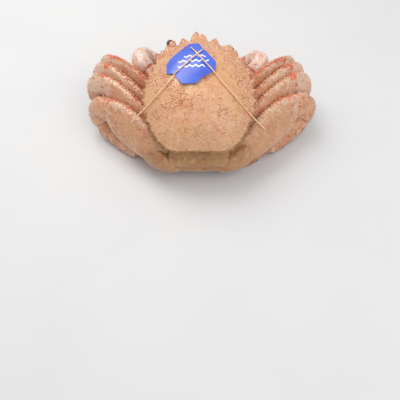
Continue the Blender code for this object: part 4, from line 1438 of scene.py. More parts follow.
    def edge_growth(self, growth: Growth, dice: random.Random) -> None:
        """Grows the spines on the edge's teeth, the bristles round it and the fringe below its rear."""
        for side in (1, -1):
            for tooth in self.dome.teeth:
                for share in (0.93, 0.965):
                    root = self.root(side * math.radians(tooth.degrees) + dice.uniform(-0.02, 0.02), share)
                    if root:
                        growth.spine(root, 0.9, 0.5)
        for k in range(self.edge_tufts):
            angle = 2 * math.pi * k / self.edge_tufts
            root = self.root(angle, 0.985, (math.sin(angle), math.cos(angle) + 0.25, -0.05))
            if root:
                growth.tuft(root, 1.6, 3, 0.2)
        for _ in range(self.fringe):
            angle = dice.choice((-1, 1)) * math.radians(dice.uniform(112, 171))
            root = self.root(angle, dice.uniform(0.975, 0.995), (math.sin(angle), math.cos(angle), -0.75))
            if root:
                growth.tuft(root, dice.uniform(2.4, 4.0), 4, 0.1, 0.6)


def inside(x: float, y: float, outline: Sequence[Pair]) -> bool:
    """Whether a flat point is inside an outline."""
    odd = False
    for (x0, y0), (x1, y1) in zip(outline, (*outline[1:], outline[0])):
        if (y0 > y) != (y1 > y) and x < x0 + (x1 - x0) * (y - y0) / (y1 - y0):
            odd = not odd
    return odd


def chained(segments: Sequence[Table]) -> list[list[Station]]:
    """Stations square to a chain of segments, each a list of (x, y, z, half width, half height).

    Args:
        segments: the chain's segments. Two that meet share a joint's plane.

    Returns:
        The stations of each segment.
    """
    made = []
    for k, segment in enumerate(segments):
        centres = [Vector(station[:3]) for station in segment]
        before = Vector(segments[k - 1][-2][:3]) if k else centres[0]
        after = Vector(segments[k + 1][1][:3]) if k + 1 < len(segments) else centres[-1]
        reach = [before, *centres, after]
        stations = []
        for n, (centre, station) in enumerate(zip(centres, segment)):
            direction = (reach[n + 2] - reach[n]).normalized()
            across = direction.cross(Z_AXIS).normalized()
            stations.append(Station(centre, across, across.cross(direction), station[3], station[4]))
        made.append(stations)
    return made


def shifted(table: Table, move: Sequence[float]) -> list[tuple[float, ...]]:
    """The same stations, moved."""
    return [tuple(value + step for value, step in zip(row, move)) + row[3:] for row in table]


@dataclass
class Joints:
    """The soft membranes and the hinge knobs between segments, in one mesh, with half sizes in mm."""

    shape: BMesh = field(default_factory=bmesh.new)
    depth: float = 2.4
    knob: Triple = (1.2, 1.6, 1.6)

    def membrane(self, skin: LimbSkin, share: float) -> None:
        """Adds a membrane across a segment's near end, with a knob at each end of its hinge.

        Args:
            skin: the segment's skin.
            share: the membrane's share of the section.
        """
        station = skin.station(0.0)
        along = (skin.station(0.05).centre - station.centre).normalized()
        turn = Matrix((station.across, station.upward, along)).transposed().to_4x4()
        reach = station.across * station.half_width * 0.84
        for centre, half in (
            (station.centre, (station.half_width * share, station.half_height * share, self.depth)),
            (station.centre + reach, self.knob), (station.centre - reach, self.knob),
        ):
            matrix = skin.place @ Matrix.Translation(centre) @ turn @ Matrix.Diagonal((*half, 1.0))
            bmesh.ops.create_icosphere(self.shape, subdivisions=3, radius=1.0, matrix=matrix)

    def add_to(self, shop: Workshop, name: str) -> None:
        """Adds the joints as one piece."""
        for key in LAYERS:
            self.shape.verts.layers.float.new(key)
        bmesh.ops.recalc_face_normals(self.shape, faces=self.shape.faces)
        shop.add(name, self.shape, shop.finishes.membrane, Slot.LIMB)


@dataclass(frozen=True)
class Segment:
    """One segment of a limb, with the numbers of the granules and tufts on it, from first on.

    Bristle is their length in millimetres, and joint the share of its section that its near membrane takes.
    """

    name: str
    stations: list[Station]
    form: LimbForm
    coat: Coat
    rows: tuple[Row, ...]
    granules: int
    tufts: int
    first: float
    bristle: float
    joint: float = 0.9
    slot: Slot = Slot.LIMB


@dataclass
class LimbGroup:
    """The limbs of one side, what grows on them and their joints."""

    shop: Workshop
    side: Side
    growth: Growth
    joints: Joints = field(default_factory=Joints)

    def add(self, limb: str, cell: Triple, grid: float, segments: Sequence[Segment]) -> None:
        """Adds a limb, segment by segment.

        Args:
            limb: the start of its nodes' names.
            cell: where its first segment is on the unwrap.
            grid: the size of its skins' cells, in millimetres.
            segments: its segments, from the body out.
        """
        for row, segment in enumerate(segments):
            own_cell = (cell[0] + 0.24 * row, cell[1], cell[2])
            skin = LimbSkin(crab_matrix(self.side), own_cell, segment.stations, segment.form, grid)
            self.shop.add_skin(skin, f"{limb}_{segment.name}_{self.side.suffix}", segment.coat, segment.slot)
            for spines in segment.rows:
                self.growth.row(skin, spines)
            self.growth.scatter(skin, segment.granules, segment.tufts, segment.first, segment.bristle)
            if row:
                self.joints.membrane(skin, segment.joint)

    def finish(self, name: str, joints_name: str, coat: Coat) -> None:
        """Adds what grows on the limbs, and their joints, under these names."""
        self.growth.add_to(self.shop, f"{name}_{self.side.suffix}", Slot.LIMB, coat)
        self.joints.add_to(self.shop, f"{joints_name}_{self.side.suffix}")


def ridge_tone(ridge: float, ends: float, pale: float, painted_shade_root: float = 0.0,
               inner: float = 0.0) -> ToneRule:
    """Makes a limb's tone: a cream ridge with orange patches, orange joints, plainer sides, and painted shade
    near its root.

    Args:
        ridge: how orange the ridge is.
        ends: how orange the joints' ends are.
        pale: how pale the sides are.
        painted_shade_root: how much of the limb, from its root, gets painted shade (deep) where it lies in
            the folds under the shell.
        inner: how much of it, from its root, is speckled red-brown, with painted glints among the specks and
            a little more painted shade.

    Returns:
        The function of (u, v, unevenness).
    """
    def tone(u: float, v: float, rough: float) -> Tone:
        """The tone at a place."""
        away = min(u, 1 - u)
        crest, joint = hump(away, 0.06), hump(v, 0.07) + hump(1 - v, 0.10)
        folds = 1 - ease(v, inner * 0.7, inner * 1.25) if inner > 0 else 0.0
        warm = ridge * crest * (0.9 + 0.9 * rough) + ends * joint * (0.3 + 0.7 * hump(away, 0.15))
        warm += 0.22 * folds
        cream = 0.7 * hump(away - 0.04, 0.07) * (1 + rough) + pale * (1 - crest) * (0.8 + 0.6 * rough)
        cream += 0.45 * ease(v, 0.72, 1.0)
        # Painted shade: darker red-brown on the root, where it lies under the shell.
        deep = 0.45 * (1 - ease(v, painted_shade_root * 0.5, painted_shade_root)) if painted_shade_root > 0 else 0.0
        specks = 0.05 + 0.7 * crest + 0.35 * joint + 0.3 * rough * crest + 0.75 * folds
        return Tone(warm, cream * (1 - 0.6 * folds), 0.0, deep + 0.1 * folds, 0.0, specks)

    return tone


def horn_tone(start: float, warm: float = 0.25) -> ToneRule:
    """Makes the tone of a limb whose tip is dark horn from this place on."""
    def tone(_: float, v: float, rough: float) -> Tone:
        """The tone at a place."""
        horn = ease(v + 0.15 * rough, start, start + 0.16)
        orange = warm * (1 - v) + 0.4 * hump(v - start, 0.12)
        return Tone(orange, 0.25 * (1 - v), 0.0, 0.0, horn, 0.2 * (1 - v))

    return tone


@dataclass(frozen=True)
class Leg:
    """One folded walking leg, in a leaning plane of its own, with lengths in millimetres.

    The plane is moved aside, forward across its heading, and its level line lies at level. The leg comes out
    from under the shell at start, with its merus at low, and its knee is at end and rise. Thick is its half
    thickness, tall the merus' half height and joint the knee's, and drop a factor on how far it goes down
    from there. The hip is (along, aside, height), and the tuck draws the lower part level forward, and down.
    Stations beyond the knee are (along, aside, height from the knee, degrees below level, width share, half
    height), but the dactyl's are (along, aside, height above the floor, degrees, half width, half height).
    """

    name: str
    aside: float
    level: float
    lean: float
    start: float
    end: float
    low: float
    rise: float
    thick: float
    tall: float
    joint: float
    drop: float
    hip: Triple
    tuck: Pair = (0.0, 0.0)
    heading: float = math.radians(41)
    tuck_depth: float = 31.0
    carpus: Table = (
        (0.0, 0.0, 0.0, 25, 1.02, 9.4), (6.5, 0.0, -3.2, 50, 1.10, 10.0), (11.5, 0.0, -10.0, 85, 1.09, 9.6),
        (10.8, 0.0, -17.0, 115, 1.02, 8.4), (6.0, 0.0, -22.2, 142, 0.90, 7.0),
    )
    propodus: Table = (
        (6.0, 0.0, -22.2, 142, 0.80, 6.4), (-1.0, 0.0, -25.8, 163, 0.88, 6.9),
        (-13.0, 0.6, -27.8, 172, 0.88, 6.9), (-26.0, 1.4, -29.4, 172, 0.80, 6.6),
        (-36.0, 2.4, -31.0, 165, 0.70, 5.0),
    )
    dactyl: Table = (
        (-36.0, 2.4, 0.0, 162, 3.0, 4.4), (-42.5, 4.6, 9.2, 150, 3.1, 4.3), (-50.0, 7.6, 4.8, 163, 2.8, 3.8),
        (-57.5, 10.8, 2.6, 176, 2.3, 3.2), (-64.5, 14.0, 2.2, 184, 1.7, 2.3),
        (-72.5, 17.5, 2.6, 184, 0.3, 0.3),
    )

    def moved(self, along: float, aside: float, level: float, lean: float) -> Leg:
        """The same leg, moved a little."""
        return replace(
            self, start=self.start + along, end=self.end + along, aside=self.aside + aside,
            level=self.level + level, lean=self.lean + lean,
        )

    def directions(self) -> tuple[Vector, Vector]:
        """The level directions out along the leg, and forward across it."""
        cosine, sine = math.cos(self.heading), math.sin(self.heading)
        return Vector((cosine, sine, 0.0)), Vector((-sine, cosine, 0.0))

    def axes(self) -> tuple[Vector, Vector, Vector]:
        """The directions out along the leg, across its leaning plane and up in that plane."""
        out, forward = self.directions()
        lean = math.radians(self.lean)
        up = forward * math.sin(lean) + Vector((0, 0, math.cos(lean)))
        return out, forward * math.cos(lean) - Vector((0, 0, math.sin(lean))), up

    def point(self, along: float, aside: float, height: float) -> Vector:
        """A point of the leg's plane, in the crab's frame."""
        out, across, up = self.axes()
        base = out * along + self.directions()[1] * self.aside + Vector((0, 0, self.level))
        return base + across * aside + up * height

    def station(self, centre: Vector, degrees: float, half_width: float, half_height: float) -> Station:
        """A cross-section where the leg heads this many degrees below level in its plane."""
        out, across, up = self.axes()
        turn = math.radians(degrees)
        return Station(centre, across, out * math.sin(turn) + up * math.cos(turn), half_width, half_height)

    def merus(self) -> list[Station]:
        """The stations of the long segment from the hip to the knee."""
        climb = -math.degrees(math.atan2(self.rise - self.low, self.end - self.start))
        along, aside, height = self.hip
        base_climb = -math.degrees(math.atan2(self.low - height, self.start - along))
        middle = self.point((along + self.start) / 2, aside * 0.55, (height + self.low) / 2 - 0.5)
        start = self.point(self.start, 0, self.low)
        stations = [
            self.station(self.point(*self.hip), base_climb, self.thick * 0.95, self.tall * 0.62),
            self.station(middle, base_climb, self.thick * 1.02, self.tall * 0.70),
            self.station(start, (base_climb + climb) / 2, self.thick, self.tall * 0.84),
        ]
        for share, grow in ((0.35, 0.98), (0.7, 1.0)):
            height = self.low + (self.rise - self.low) * share
            centre = self.point(self.start + (self.end - self.start) * share, 0, height)
            stations.append(self.station(centre, climb, self.thick, self.tall * grow))
        knee = self.point(self.end, 0, self.rise)
        stations.append(self.station(knee, self.carpus[0][3], self.thick * 0.96, self.joint * 0.93))
        return stations

    def beyond_knee(self, table: Table) -> list[Station]:
        """The stations of a segment beyond the knee."""
        return [
            self.station(self.below_knee(*row[:3]), row[3], self.thick * row[4], row[5] * self.joint / 10)
            for row in table
        ]

    def below_knee(self, along: float, aside: float, height: float) -> Vector:
        """A place counted from the knee, drawn in by the tuck."""
        share = (-height / self.tuck_depth) ** 1.5
        level = self.directions()[1] * self.tuck[0] - Vector((0, 0, self.tuck[1]))
        return self.point(self.end + along, aside, self.rise + height * self.drop) + level * share

    def tip(self) -> list[Station]:
        """The stations of the last segment, whose heights are counted from the floor."""
        out, forward = self.directions()
        along0, aside0, height0 = self.propodus[-1][:3]
        start = self.below_knee(along0, aside0, height0)
        spread = 1 - self.tuck[0] / (self.dactyl[-1][1] - aside0)
        stations = []
        for along, aside, height, degrees, half_width, half_height in self.dactyl:
            centre = start + out * (along - along0) + forward * (aside - aside0) * spread
            if stations:
                centre.z = height
            stations.append(self.station(centre, degrees, half_width, half_height))
        return stations


@dataclass(frozen=True)
class WalkingLegs:
    """The eight folded walking legs: the right ones, and how each left one is moved and leaned."""

    legs: tuple[Leg, ...] = (
        Leg("leg2", -23.0, 46.0, 6, 40, 80, -1.8, 1.6, 4.8, 11.6, 9.2, 0.92, (27, 3, -12)),
        Leg("leg3", -33.2, 43.5, 12, 31, 79, -4.5, 2.5, 4.7, 10.2, 10.2, 0.92, (16, 2, -13)),
        Leg("leg4", -43.8, 41.0, 20, 22, 76, -4.5, 2.0, 5.0, 10.8, 10.6, 0.90, (3, 1, -14)),
        Leg("leg5", -58.0, 37.0, 33, 6, 64, -8.4, -2.2, 6.2, 15.4, 11.4, 0.92, (-15, 10, -15), (8.6, 1.7)),
    )
    left_moves: Table = (
        (2.5, 1.6, -1.0, 0), (0.5, 1.2, -1.5, 0), (-2.0, 0.6, -1.0, 0), (-8.0, 1.4, -1.0, -4),
    )
    ridges: tuple[Ridge, ...] = (
        Ridge(0.0, 0.5, 0.035), Ridge(0.09, 0.25), Ridge(0.91, 0.25), Ridge(0.5, 0.4, 0.05),
    )
    tip_ridges: tuple[Ridge, ...] = (
        Ridge(0.0, 0.3, 0.05), Ridge(0.17, -0.35, 0.05), Ridge(0.83, -0.35, 0.05),
    )

    def build(self, shop: Workshop, dice: random.Random) -> None:
        """Adds the legs with their joints and what grows on them."""
        coat = shop.finishes.limb
        for side in Side:
            group = LimbGroup(shop, side, Growth(dice))
            for number, leg in enumerate(self.legs):
                column = number
                if side is Side.LEFT:
                    leg = leg.moved(*self.left_moves[number])
                    column += len(self.legs)
                cell = (0.02, 0.02 + 0.12 * column, 0.10)
                group.add(leg.name, cell, 0.8, self.segments(leg, side, coat))
            group.finish("legs", "leg_joints", coat)

    def segments(self, leg: Leg, side: Side, coat: Coat) -> list[Segment]:
        """A leg's segments.

        Args:
            leg: its measures.
            side: the side that it is on.
            coat: its materials.

        Returns:
            The segments, from the hip out.
        """
        ends = 0.95 if side is Side.RIGHT else 0.6
        merus_tone = ridge_tone(0.7 if leg.name == "leg2" else 0.45, ends, 0.34, 0.3, 0.58)
        knee_tone = self.knee_tone
        if leg.name == "leg5":
            merus_tone, knee_tone = self.rear_tone, ridge_tone(0.4, 0.5, 0.0)
        shank_tone = ridge_tone(0.3, 0.4, 0.0)
        merus_rows = (
            Row(0.0, 0.36, 0.97, 15, 1.5), Row(0.94, 0.42, 0.96, 11, 1.2), Row(0.06, 0.5, 0.96, 9, 1.1),
        )
        knee_rows = (
            Row(0.0, 0.08, 0.92, 8, 1.5), Row(0.93, 0.1, 0.85, 7, 1.2), Row(0.07, 0.12, 0.85, 6, 1.1),
        )
        shank_rows = (Row(0.0, 0.12, 0.9, 10, 1.1), Row(0.1, 0.15, 0.85, 6, 0.9))
        forms = (
            LimbForm(self.ridges, round_start=0.0, tone=merus_tone), LimbForm(self.ridges, tone=knee_tone),
            LimbForm(self.ridges, tone=shank_tone),
            LimbForm(self.tip_ridges, round_end=0.0, tone=horn_tone(0.86)),
        )
        carpus, propodus = leg.beyond_knee(leg.carpus), leg.beyond_knee(leg.propodus)
        return [
            Segment("merus", leg.merus(), forms[0], coat, merus_rows, 210, 230, 0.3, 1.7),
            Segment("carpus", carpus, forms[1], coat, knee_rows, 120, 230, 0.03, 1.7),
            Segment("propodus", propodus, forms[2], coat, shank_rows, 110, 300, 0.03, 2.3),
            Segment("dactyl", leg.tip(), forms[3], coat, (), 30, 260, 0.03, 2.3),
        ]

    @staticmethod
    def knee_tone(u: float, v: float, rough: float) -> Tone:
        """The tone of a knee's segment, which is palest at its top: partly its own pale colour, partly a
        painted highlight where light falls on the knee.
        """
        plain = ridge_tone(0.4, 0.68, 0.0)(u, v, rough)
        top, end = 1 - ease(v, 0.25, 0.8), ease(v, 0.72, 1.0)
        return replace(plain, pale=plain.pale + (1.0 + 0.5 * rough) * top - 0.45 * end)

    @staticmethod
    def rear_tone(u: float, v: float, rough: float) -> Tone:
        """The tone of the rearmost leg's long segment, which turns tan towards the flap, with painted shade
        (deep) on its crest near the hip.
        """
        plain = ridge_tone(0.42, 0.5, 0.1)(u, v, rough)
        hip = 1 - ease(v, 0.25, 0.6)
        crest = hump(min(u, 1 - u), 0.07)
        return replace(
            plain, warm=plain.warm * (1 - 0.8 * hip), pale=plain.pale * (1 - 0.9 * hip),
            # deep here is painted shade on the crest near the hip, under the shell.
            olive=0.16 + 0.16 * hip * (1 + rough), deep=0.6 * crest * hip, specks=plain.specks + 0.3 * crest,
        )


@dataclass(frozen=True)
class Claws:
    """The two folded claws, with stations as (x, y, z, half width, half height) in the crab's frame."""

    merus: Table = (
        (31, 13, 39, 6.0, 7.6), (37, 19, 41, 7.0, 8.8), (44, 25, 43.5, 7.4, 9.4), (49, 29.5, 45, 7.2, 9.2),
    )
    carpus: Table = (
        (49.0, 29.5, 45.0, 8.0, 9.8), (53.6, 33.0, 47.2, 8.4, 11.8), (56.8, 39.4, 47.4, 8.2, 12.8),
        (54.8, 46.8, 43.8, 8.0, 12.0), (47.8, 48.8, 39.4, 7.4, 10.2),
    )
    palm: Table = (
        (47.8, 48.8, 39.4, 7.6, 10.6), (41.0, 49.0, 34.6, 8.8, 12.6), (33.0, 48.6, 26.6, 8.8, 12.0),
        (25.0, 47.6, 20.4, 8.0, 11.2), (19.5, 46.4, 13.6, 6.2, 7.6),
    )
    fixed: Table = (
        (15.0, 45.2, 8.2, 4.4, 4.8), (8.0, 43.6, 3.2, 3.0, 3.4), (3.6, 42.6, 2.2, 1.6, 1.7),
        (2.2, 42.2, 2.5, 0.4, 0.4),
    )
    finger: Table = (
        (18.9, 46.4, 24.8, 4.8, 5.0), (13.6, 45.2, 20.6, 4.2, 4.4), (8.4, 43.8, 15.0, 3.1, 3.4),
        (5.0, 42.8, 10.4, 1.8, 2.0), (3.8, 42.3, 7.4, 0.4, 0.4),
    )
    right_move: Triple = (0.7, 0.3, -3.2)
    left_move: Triple = (-3.6, 0.5, 0.5)
    spiny: tuple[Row, ...] = (
        Row(0.0, 0.1, 0.9, 6, 1.2), Row(0.92, 0.12, 0.9, 6, 1.1), Row(0.84, 0.15, 0.88, 5, 1.0),
        Row(0.08, 0.2, 0.9, 5, 1.0), Row(0.76, 0.2, 0.85, 4, 0.9),
    )

    def build(self, shop: Workshop, dice: random.Random) -> None:
        """Adds the claws with their joints and what grows on them."""
        for side in Side:
            group = LimbGroup(shop, side, Growth(dice))
            cell = (0.02, 0.50 if side is Side.RIGHT else 0.75, 0.20)
            group.add("claw", cell, 0.75, self.segments(side, shop.finishes))
            group.finish("claw", "claw_joints", shop.finishes.claw)

    def segments(self, side: Side, finishes: Finishes) -> list[Segment]:
        """A claw's segments.

        Args:
            side: the side that it is on.
            finishes: every material.

        Returns:
            The segments, from the body out.
        """
        move = self.right_move if side is Side.RIGHT else self.left_move
        level = (move[0], move[1], 0.0)
        tables = (self.merus, self.carpus, self.palm)
        merus, carpus, palm = chained([shifted(table, move) for table in tables])
        fixed = chained([shifted(self.palm, move)[-2:] + shifted(self.fixed, level)])[0][2:]
        finger = chained([shifted(self.finger, level)])[0]
        knobs = tuple(Ridge(turn, 0.2) for turn in (0.0, 0.08, 0.92, 0.83))
        shorter = tuple(replace(row, last=0.55) for row in self.spiny)
        few = (Row(0.0, 0.06, 0.45, 4, 1.0), Row(0.93, 0.06, 0.4, 3, 0.9))
        forms = (
            LimbForm(knobs, round_start=0.0, tone=ridge_tone(0.5, 0.3, 0.0)),
            LimbForm(knobs, wobble=0.3, tone=self.carpus_tone),
            LimbForm(knobs, wobble=0.3, round_end=0.0, tone=self.palm_tone),
            LimbForm(knobs[:1], round_end=0.0, tone=horn_tone(0.42, 0.5)),
        )
        claw = finishes.claw
        return [
            Segment("merus", merus, forms[0], finishes.limb, (), 90, 60, 0.05, 1.8),
            Segment("carpus", carpus, forms[1], claw, self.spiny, 110, 90, 0.05, 1.8),
            Segment("palm", palm + fixed, forms[2], claw, shorter, 120, 110, 0.05, 1.8),
            Segment("finger", finger, forms[3], claw, few, 25, 40, 0.05, 1.8, 0.8, Slot.CLAW_TIP),
        ]

    @staticmethod
    def palm_tone(u: float, v: float, rough: float) -> Tone:
        """The tone of the palm, whose fixed finger is dark horn."""
        return replace(Claws.carpus_tone(u, v, rough), horn=ease(v + 0.08 * rough, 0.70, 0.82))

    @staticmethod
    def carpus_tone(u: float, v: float, rough: float) -> Tone:
        """The tone of the claw's other segments, which turn salmon below."""
        low = ease(min(u, 1 - u) + 0.1 * rough, 0.14, 0.34)
        return replace(ridge_tone(0.12, 0.5, 0.45)(u, v, rough), olive=0.9 * low)


@dataclass(frozen=True)
class Head:
    """The eyes on stalks, the feelers and the mouthparts, as (x, y, z, half sizes) in the body's frame.

    Ball is the middle of the cornea, and right_lean moves the right eye's end back into its socket.
    """

    stalk: Table = (
        (21.8, 37.6, -3.4, 3.0), (22.6, 41.2, -3.0, 3.3), (23.2, 43.6, -2.8, 3.6), (23.7, 45.6, -2.4, 3.6),
        (24.1, 47.4, -2.0, 2.8), (24.4, 48.8, -1.6, 0.6),
    )
    ball: Triple = (25.2, 46.0, -2.5)
    ball_half: Triple = (3.5, 3.3, 3.7)
    right_lean: Triple = (3.1, -6.3, -4.8)
    antenna: Table = (
        (15.6, 38.2, -5.4, 1.8), (16.4, 42.6, -6.4, 1.5), (17.4, 46.6, -8.6, 0.85), (19.0, 50.4, -12.4, 0.5),
        (20.6, 52.6, -18.0, 0.2),
    )
    antennule: Table = (
        (5.4, 40.0, -4.6, 1.4), (5.8, 44.0, -6.0, 1.0), (6.6, 46.2, -9.0, 0.5), (7.6, 46.4, -13.0, 0.2),
    )
    maxilliped: Table = (
        (5.9, 35.2, -8.6, 4.6, 1.5), (5.9, 32.6, -13.6, 5.2, 1.8), (5.8, 28.4, -20.4, 5.0, 1.9),
        (5.7, 23.6, -27.4, 4.2, 1.6), (5.6, 20.6, -31.4, 3.0, 1.2),
    )
    feeler_tufts: int = 26
    mouth_tufts: int = 200
    mouth_granules: int = 60

    def build(self, shop: Workshop, dice: random.Random) -> None:
        """Adds the head's pieces."""
        growth = Growth(dice)
        rings = tuple(k / 12 for k in range(3, 12))
        for side in Side:
            self.build_eye(shop, growth, side)
            self.build_feeler(shop, growth, side, "antenna", rings)
            self.build_feeler(shop, growth, side, "antennule", rings[::2])
            self.build_mouth(shop, growth, side)
        growth.add_to(shop, "head", Slot.UNDERSIDE, shop.finishes.under)

    def build_feeler(self, shop: Workshop, growth: Growth, side: Side, name: str,
                     rings: tuple[float, ...]) -> None:
        """Adds a feeler.

        Args:
            shop: adds the piece.
            growth: gathers its bristles.
            side: the side that it is on.
            name: the feeler's name, which its stations have too.
            rings: where its joints are along it.
        """
        stations = chained([[(*row, row[3]) for row in getattr(self, name)]])[0]
        form = LimbForm(
            grooves=rings, groove=(0.12, 0.35), fullness=1.0, round_end=0.0, wobble=0.05,
            tone=lambda u, v, rough: Tone(0.3 * ease(v, 0.4, 1.0) + 0.3 * rough, 0.2),
        )
        cell = (0.1 if name == "antenna" else 0.3, 0.1, 0.05)
        skin = LimbSkin(body_matrix(side), cell, stations, form, 0.4)
        shop.add_skin(skin, f"{name}_{side.suffix}", shop.finishes.limb)
        for _ in range(self.feeler_tufts):
            growth.tuft(skin.root(growth.dice.random(), growth.dice.uniform(0.1, 0.95)), 1.3, 2, 0.5)

    def build_eye(self, shop: Workshop, growth: Growth, side: Side) -> None:
        """Adds an eye: its stalk, whose top runs on over it, and its dark cornea.

        Args:
            shop: adds the pieces.
            growth: gathers the bristles on the stalk.
            side: the side that it is on.
        """
        lean = self.right_lean if side is Side.RIGHT else (0.0, 0.0, 0.0)
        last = len(self.stalk) - 1
        table = [
            tuple(value + step * (k / last) for value, step in zip(row, lean)) + (row[3], row[3])
            for k, row in enumerate(self.stalk)
        ]
        form = LimbForm(
            fullness=1.0, round_end=0.0, wobble=0.15,
            tone=lambda u, v, rough: Tone(0.45 * ease(v, 0.5, 0.85), 0.7),
        )
        skin = LimbSkin(body_matrix(side), (0.6, 0.1, 0.08), chained([table])[0], form, 0.35)
        eye = f"eye_{side.suffix}"
        shop.add_skin(skin, eye, shop.finishes.limb)
        ball = bmesh.new()
        station = skin.station(0.72)
        along = (skin.station(0.9).centre - skin.station(0.5).centre).normalized()
        turn = Matrix((station.across, station.upward, along)).transposed().to_4x4()
        middle = Matrix.Translation(Vector(self.ball) + Vector(lean) * 0.7)
        matrix = skin.place @ middle @ turn @ Matrix.Diagonal((*self.ball_half, 1.0))
        bmesh.ops.create_uvsphere(ball, u_segments=48, v_segments=32, radius=1.0, matrix=matrix)
        bmesh.ops.recalc_face_normals(ball, faces=ball.faces)
        shop.add(f"cornea_{side.suffix}", ball, shop.finishes.cornea, Slot.EYE, eye)
        for k in range(self.feeler_tufts):
            root = skin.root(-0.16 + 0.32 * (k % 5) / 4, 0.35 + 0.5 * k / self.feeler_tufts)
            growth.tuft(root, 1.2, 2, 0.5)

    def build_mouth(self, shop: Workshop, growth: Growth, side: Side) -> None:
        """Adds the plate that covers one side of the mouth.

        Args:
            shop: adds the piece.
            growth: gathers what grows on it.
            side: the side that it is on.
        """
        dice = growth.dice
        upward = Vector((0, 0.8, -0.6))
        stations = [Station(Vector(row[:3]), X_AXIS, upward, *row[3:]) for row in self.maxilliped]
        form = LimbForm(
            (Ridge(0.06, -0.5), Ridge(0.0, 0.4)), (0.36, 0.72), (0.7, 0.6), 0.55, 1.2, 1.2, 0.3,
            lambda u, v, rough: Tone(
                0.7 * hump(v - 0.36, 0.06) + 0.5 * hump(v - 0.72, 0.05) + 0.3 * rough, 0.5 + rough, specks=0.5
            ),
        )
        skin = LimbSkin(body_matrix(side), (0.7, 0.3, 0.15), stations, form, 0.6)
        shop.add_skin(skin, f"maxilliped_{side.suffix}", shop.finishes.under, Slot.UNDERSIDE)
        for k in range(self.mouth_tufts):
            edge = dice.choice((0.24, 0.76)) + dice.uniform(-0.04, 0.04)
            growth.tuft(skin.root(edge, 0.05 + 0.9 * k / self.mouth_tufts), 2.2, 3, 0.5)
        for _ in range(self.mouth_granules):
            growth.granule(skin.root(dice.uniform(-0.2, 0.2), dice.uniform(0.05, 0.95)), 0.35, 0.25)


class Thorax(Skin):
    """The body between the legs, with the furrows of its plates and the frame that the mouth's plates lie in.

    Its loops are the shell's outline, each as (share across, share along, shift along, height). Mouth is the
    frame's half width, and mouth_depth how deep it is, in millimetres.
    """

    columns = 180
    rows = 90
    rings = (
        (0.87, 0.84, -2.0, -5.5), (0.86, 0.84, -3.0, -12.0), (0.76, 0.79, -6.0, -20.0),
        (0.62, 0.72, -9.0, -27.0), (0.50, 0.66, -12.0, -30.5), (0.2, 0.3, -12.0, -31.0),
        (0.05, 0.08, -12.0, -31.0),
    )
    mouth = 11.4
    mouth_depth = 7.4

    def __init__(self, dome: Dome) -> None:
        """Keeps the shell's form."""
        super().__init__(body_matrix(), (0.02, 0.02, 0.9))
        self.dome = dome

    def ring(self, v: float) -> list[float]:
        """The outline's scale, shift and height at a place along the skin."""
        place = v * (len(self.rings) - 1)
        base = min(int(place), len(self.rings) - 2)
        return [curve_value(*values, place - base) for values in zip(*around(self.rings, base))]

    def core(self, v: float) -> Vector:
        """The middle of the loop at v."""
        _, _, shift, height = self.ring(v)
        return Vector((0.0, SHELL_POLE_Y + shift, height))

    def point(self, u: float, v: float) -> Vector:
        """The body's place, in its frame."""
        across, along, shift, height = self.ring(v)
        angle = 2 * math.pi * u
        reach = self.dome.edge(angle)
        x, y = across * reach * math.sin(angle), SHELL_POLE_Y + along * reach * math.cos(angle) + shift
        spot = Vector((x, y, height))
        out = (spot - self.core(v)).normalized()
        if spot.y > 10:
            frame = (1 - ease(abs(spot.x), self.mouth, self.mouth + 2.0)) * ease(-spot.z, 5.2, 7.4)
            spot.y -= self.mouth_depth * frame * (1 - ease(-spot.z, 22.0, 29.0))
        seam = abs(((abs(u - 0.5) * 2 * 7) % 1.0) - 0.5)
        furrow = 0.7 * hump(seam, 0.09) * ease(v, 0.05, 0.3)
        swell = 0.35 * noise.noise(spot * 0.12) - furrow
        return spot + (out if v < 0.62 else -Z_AXIS) * swell

    def tone(self, u: float, v: float) -> Tone:
        """The body's tone: orange in its furrows near the legs, and painted shade (deep) just under the
        shell's edge.
        """
        warm = 0.1
        if v < 0.5:
            warm = 0.25 + 0.4 * noise.noise(Vector((u * 20, v * 8, 1.0)))
        # The fourth share is painted shade, darkest just under the shell's edge.
        return Tone(warm, 0.3 + 0.4 * v, 0.0, 0.6 * (1 - ease(v, 0.1, 0.35)), 0.0, 0.3)


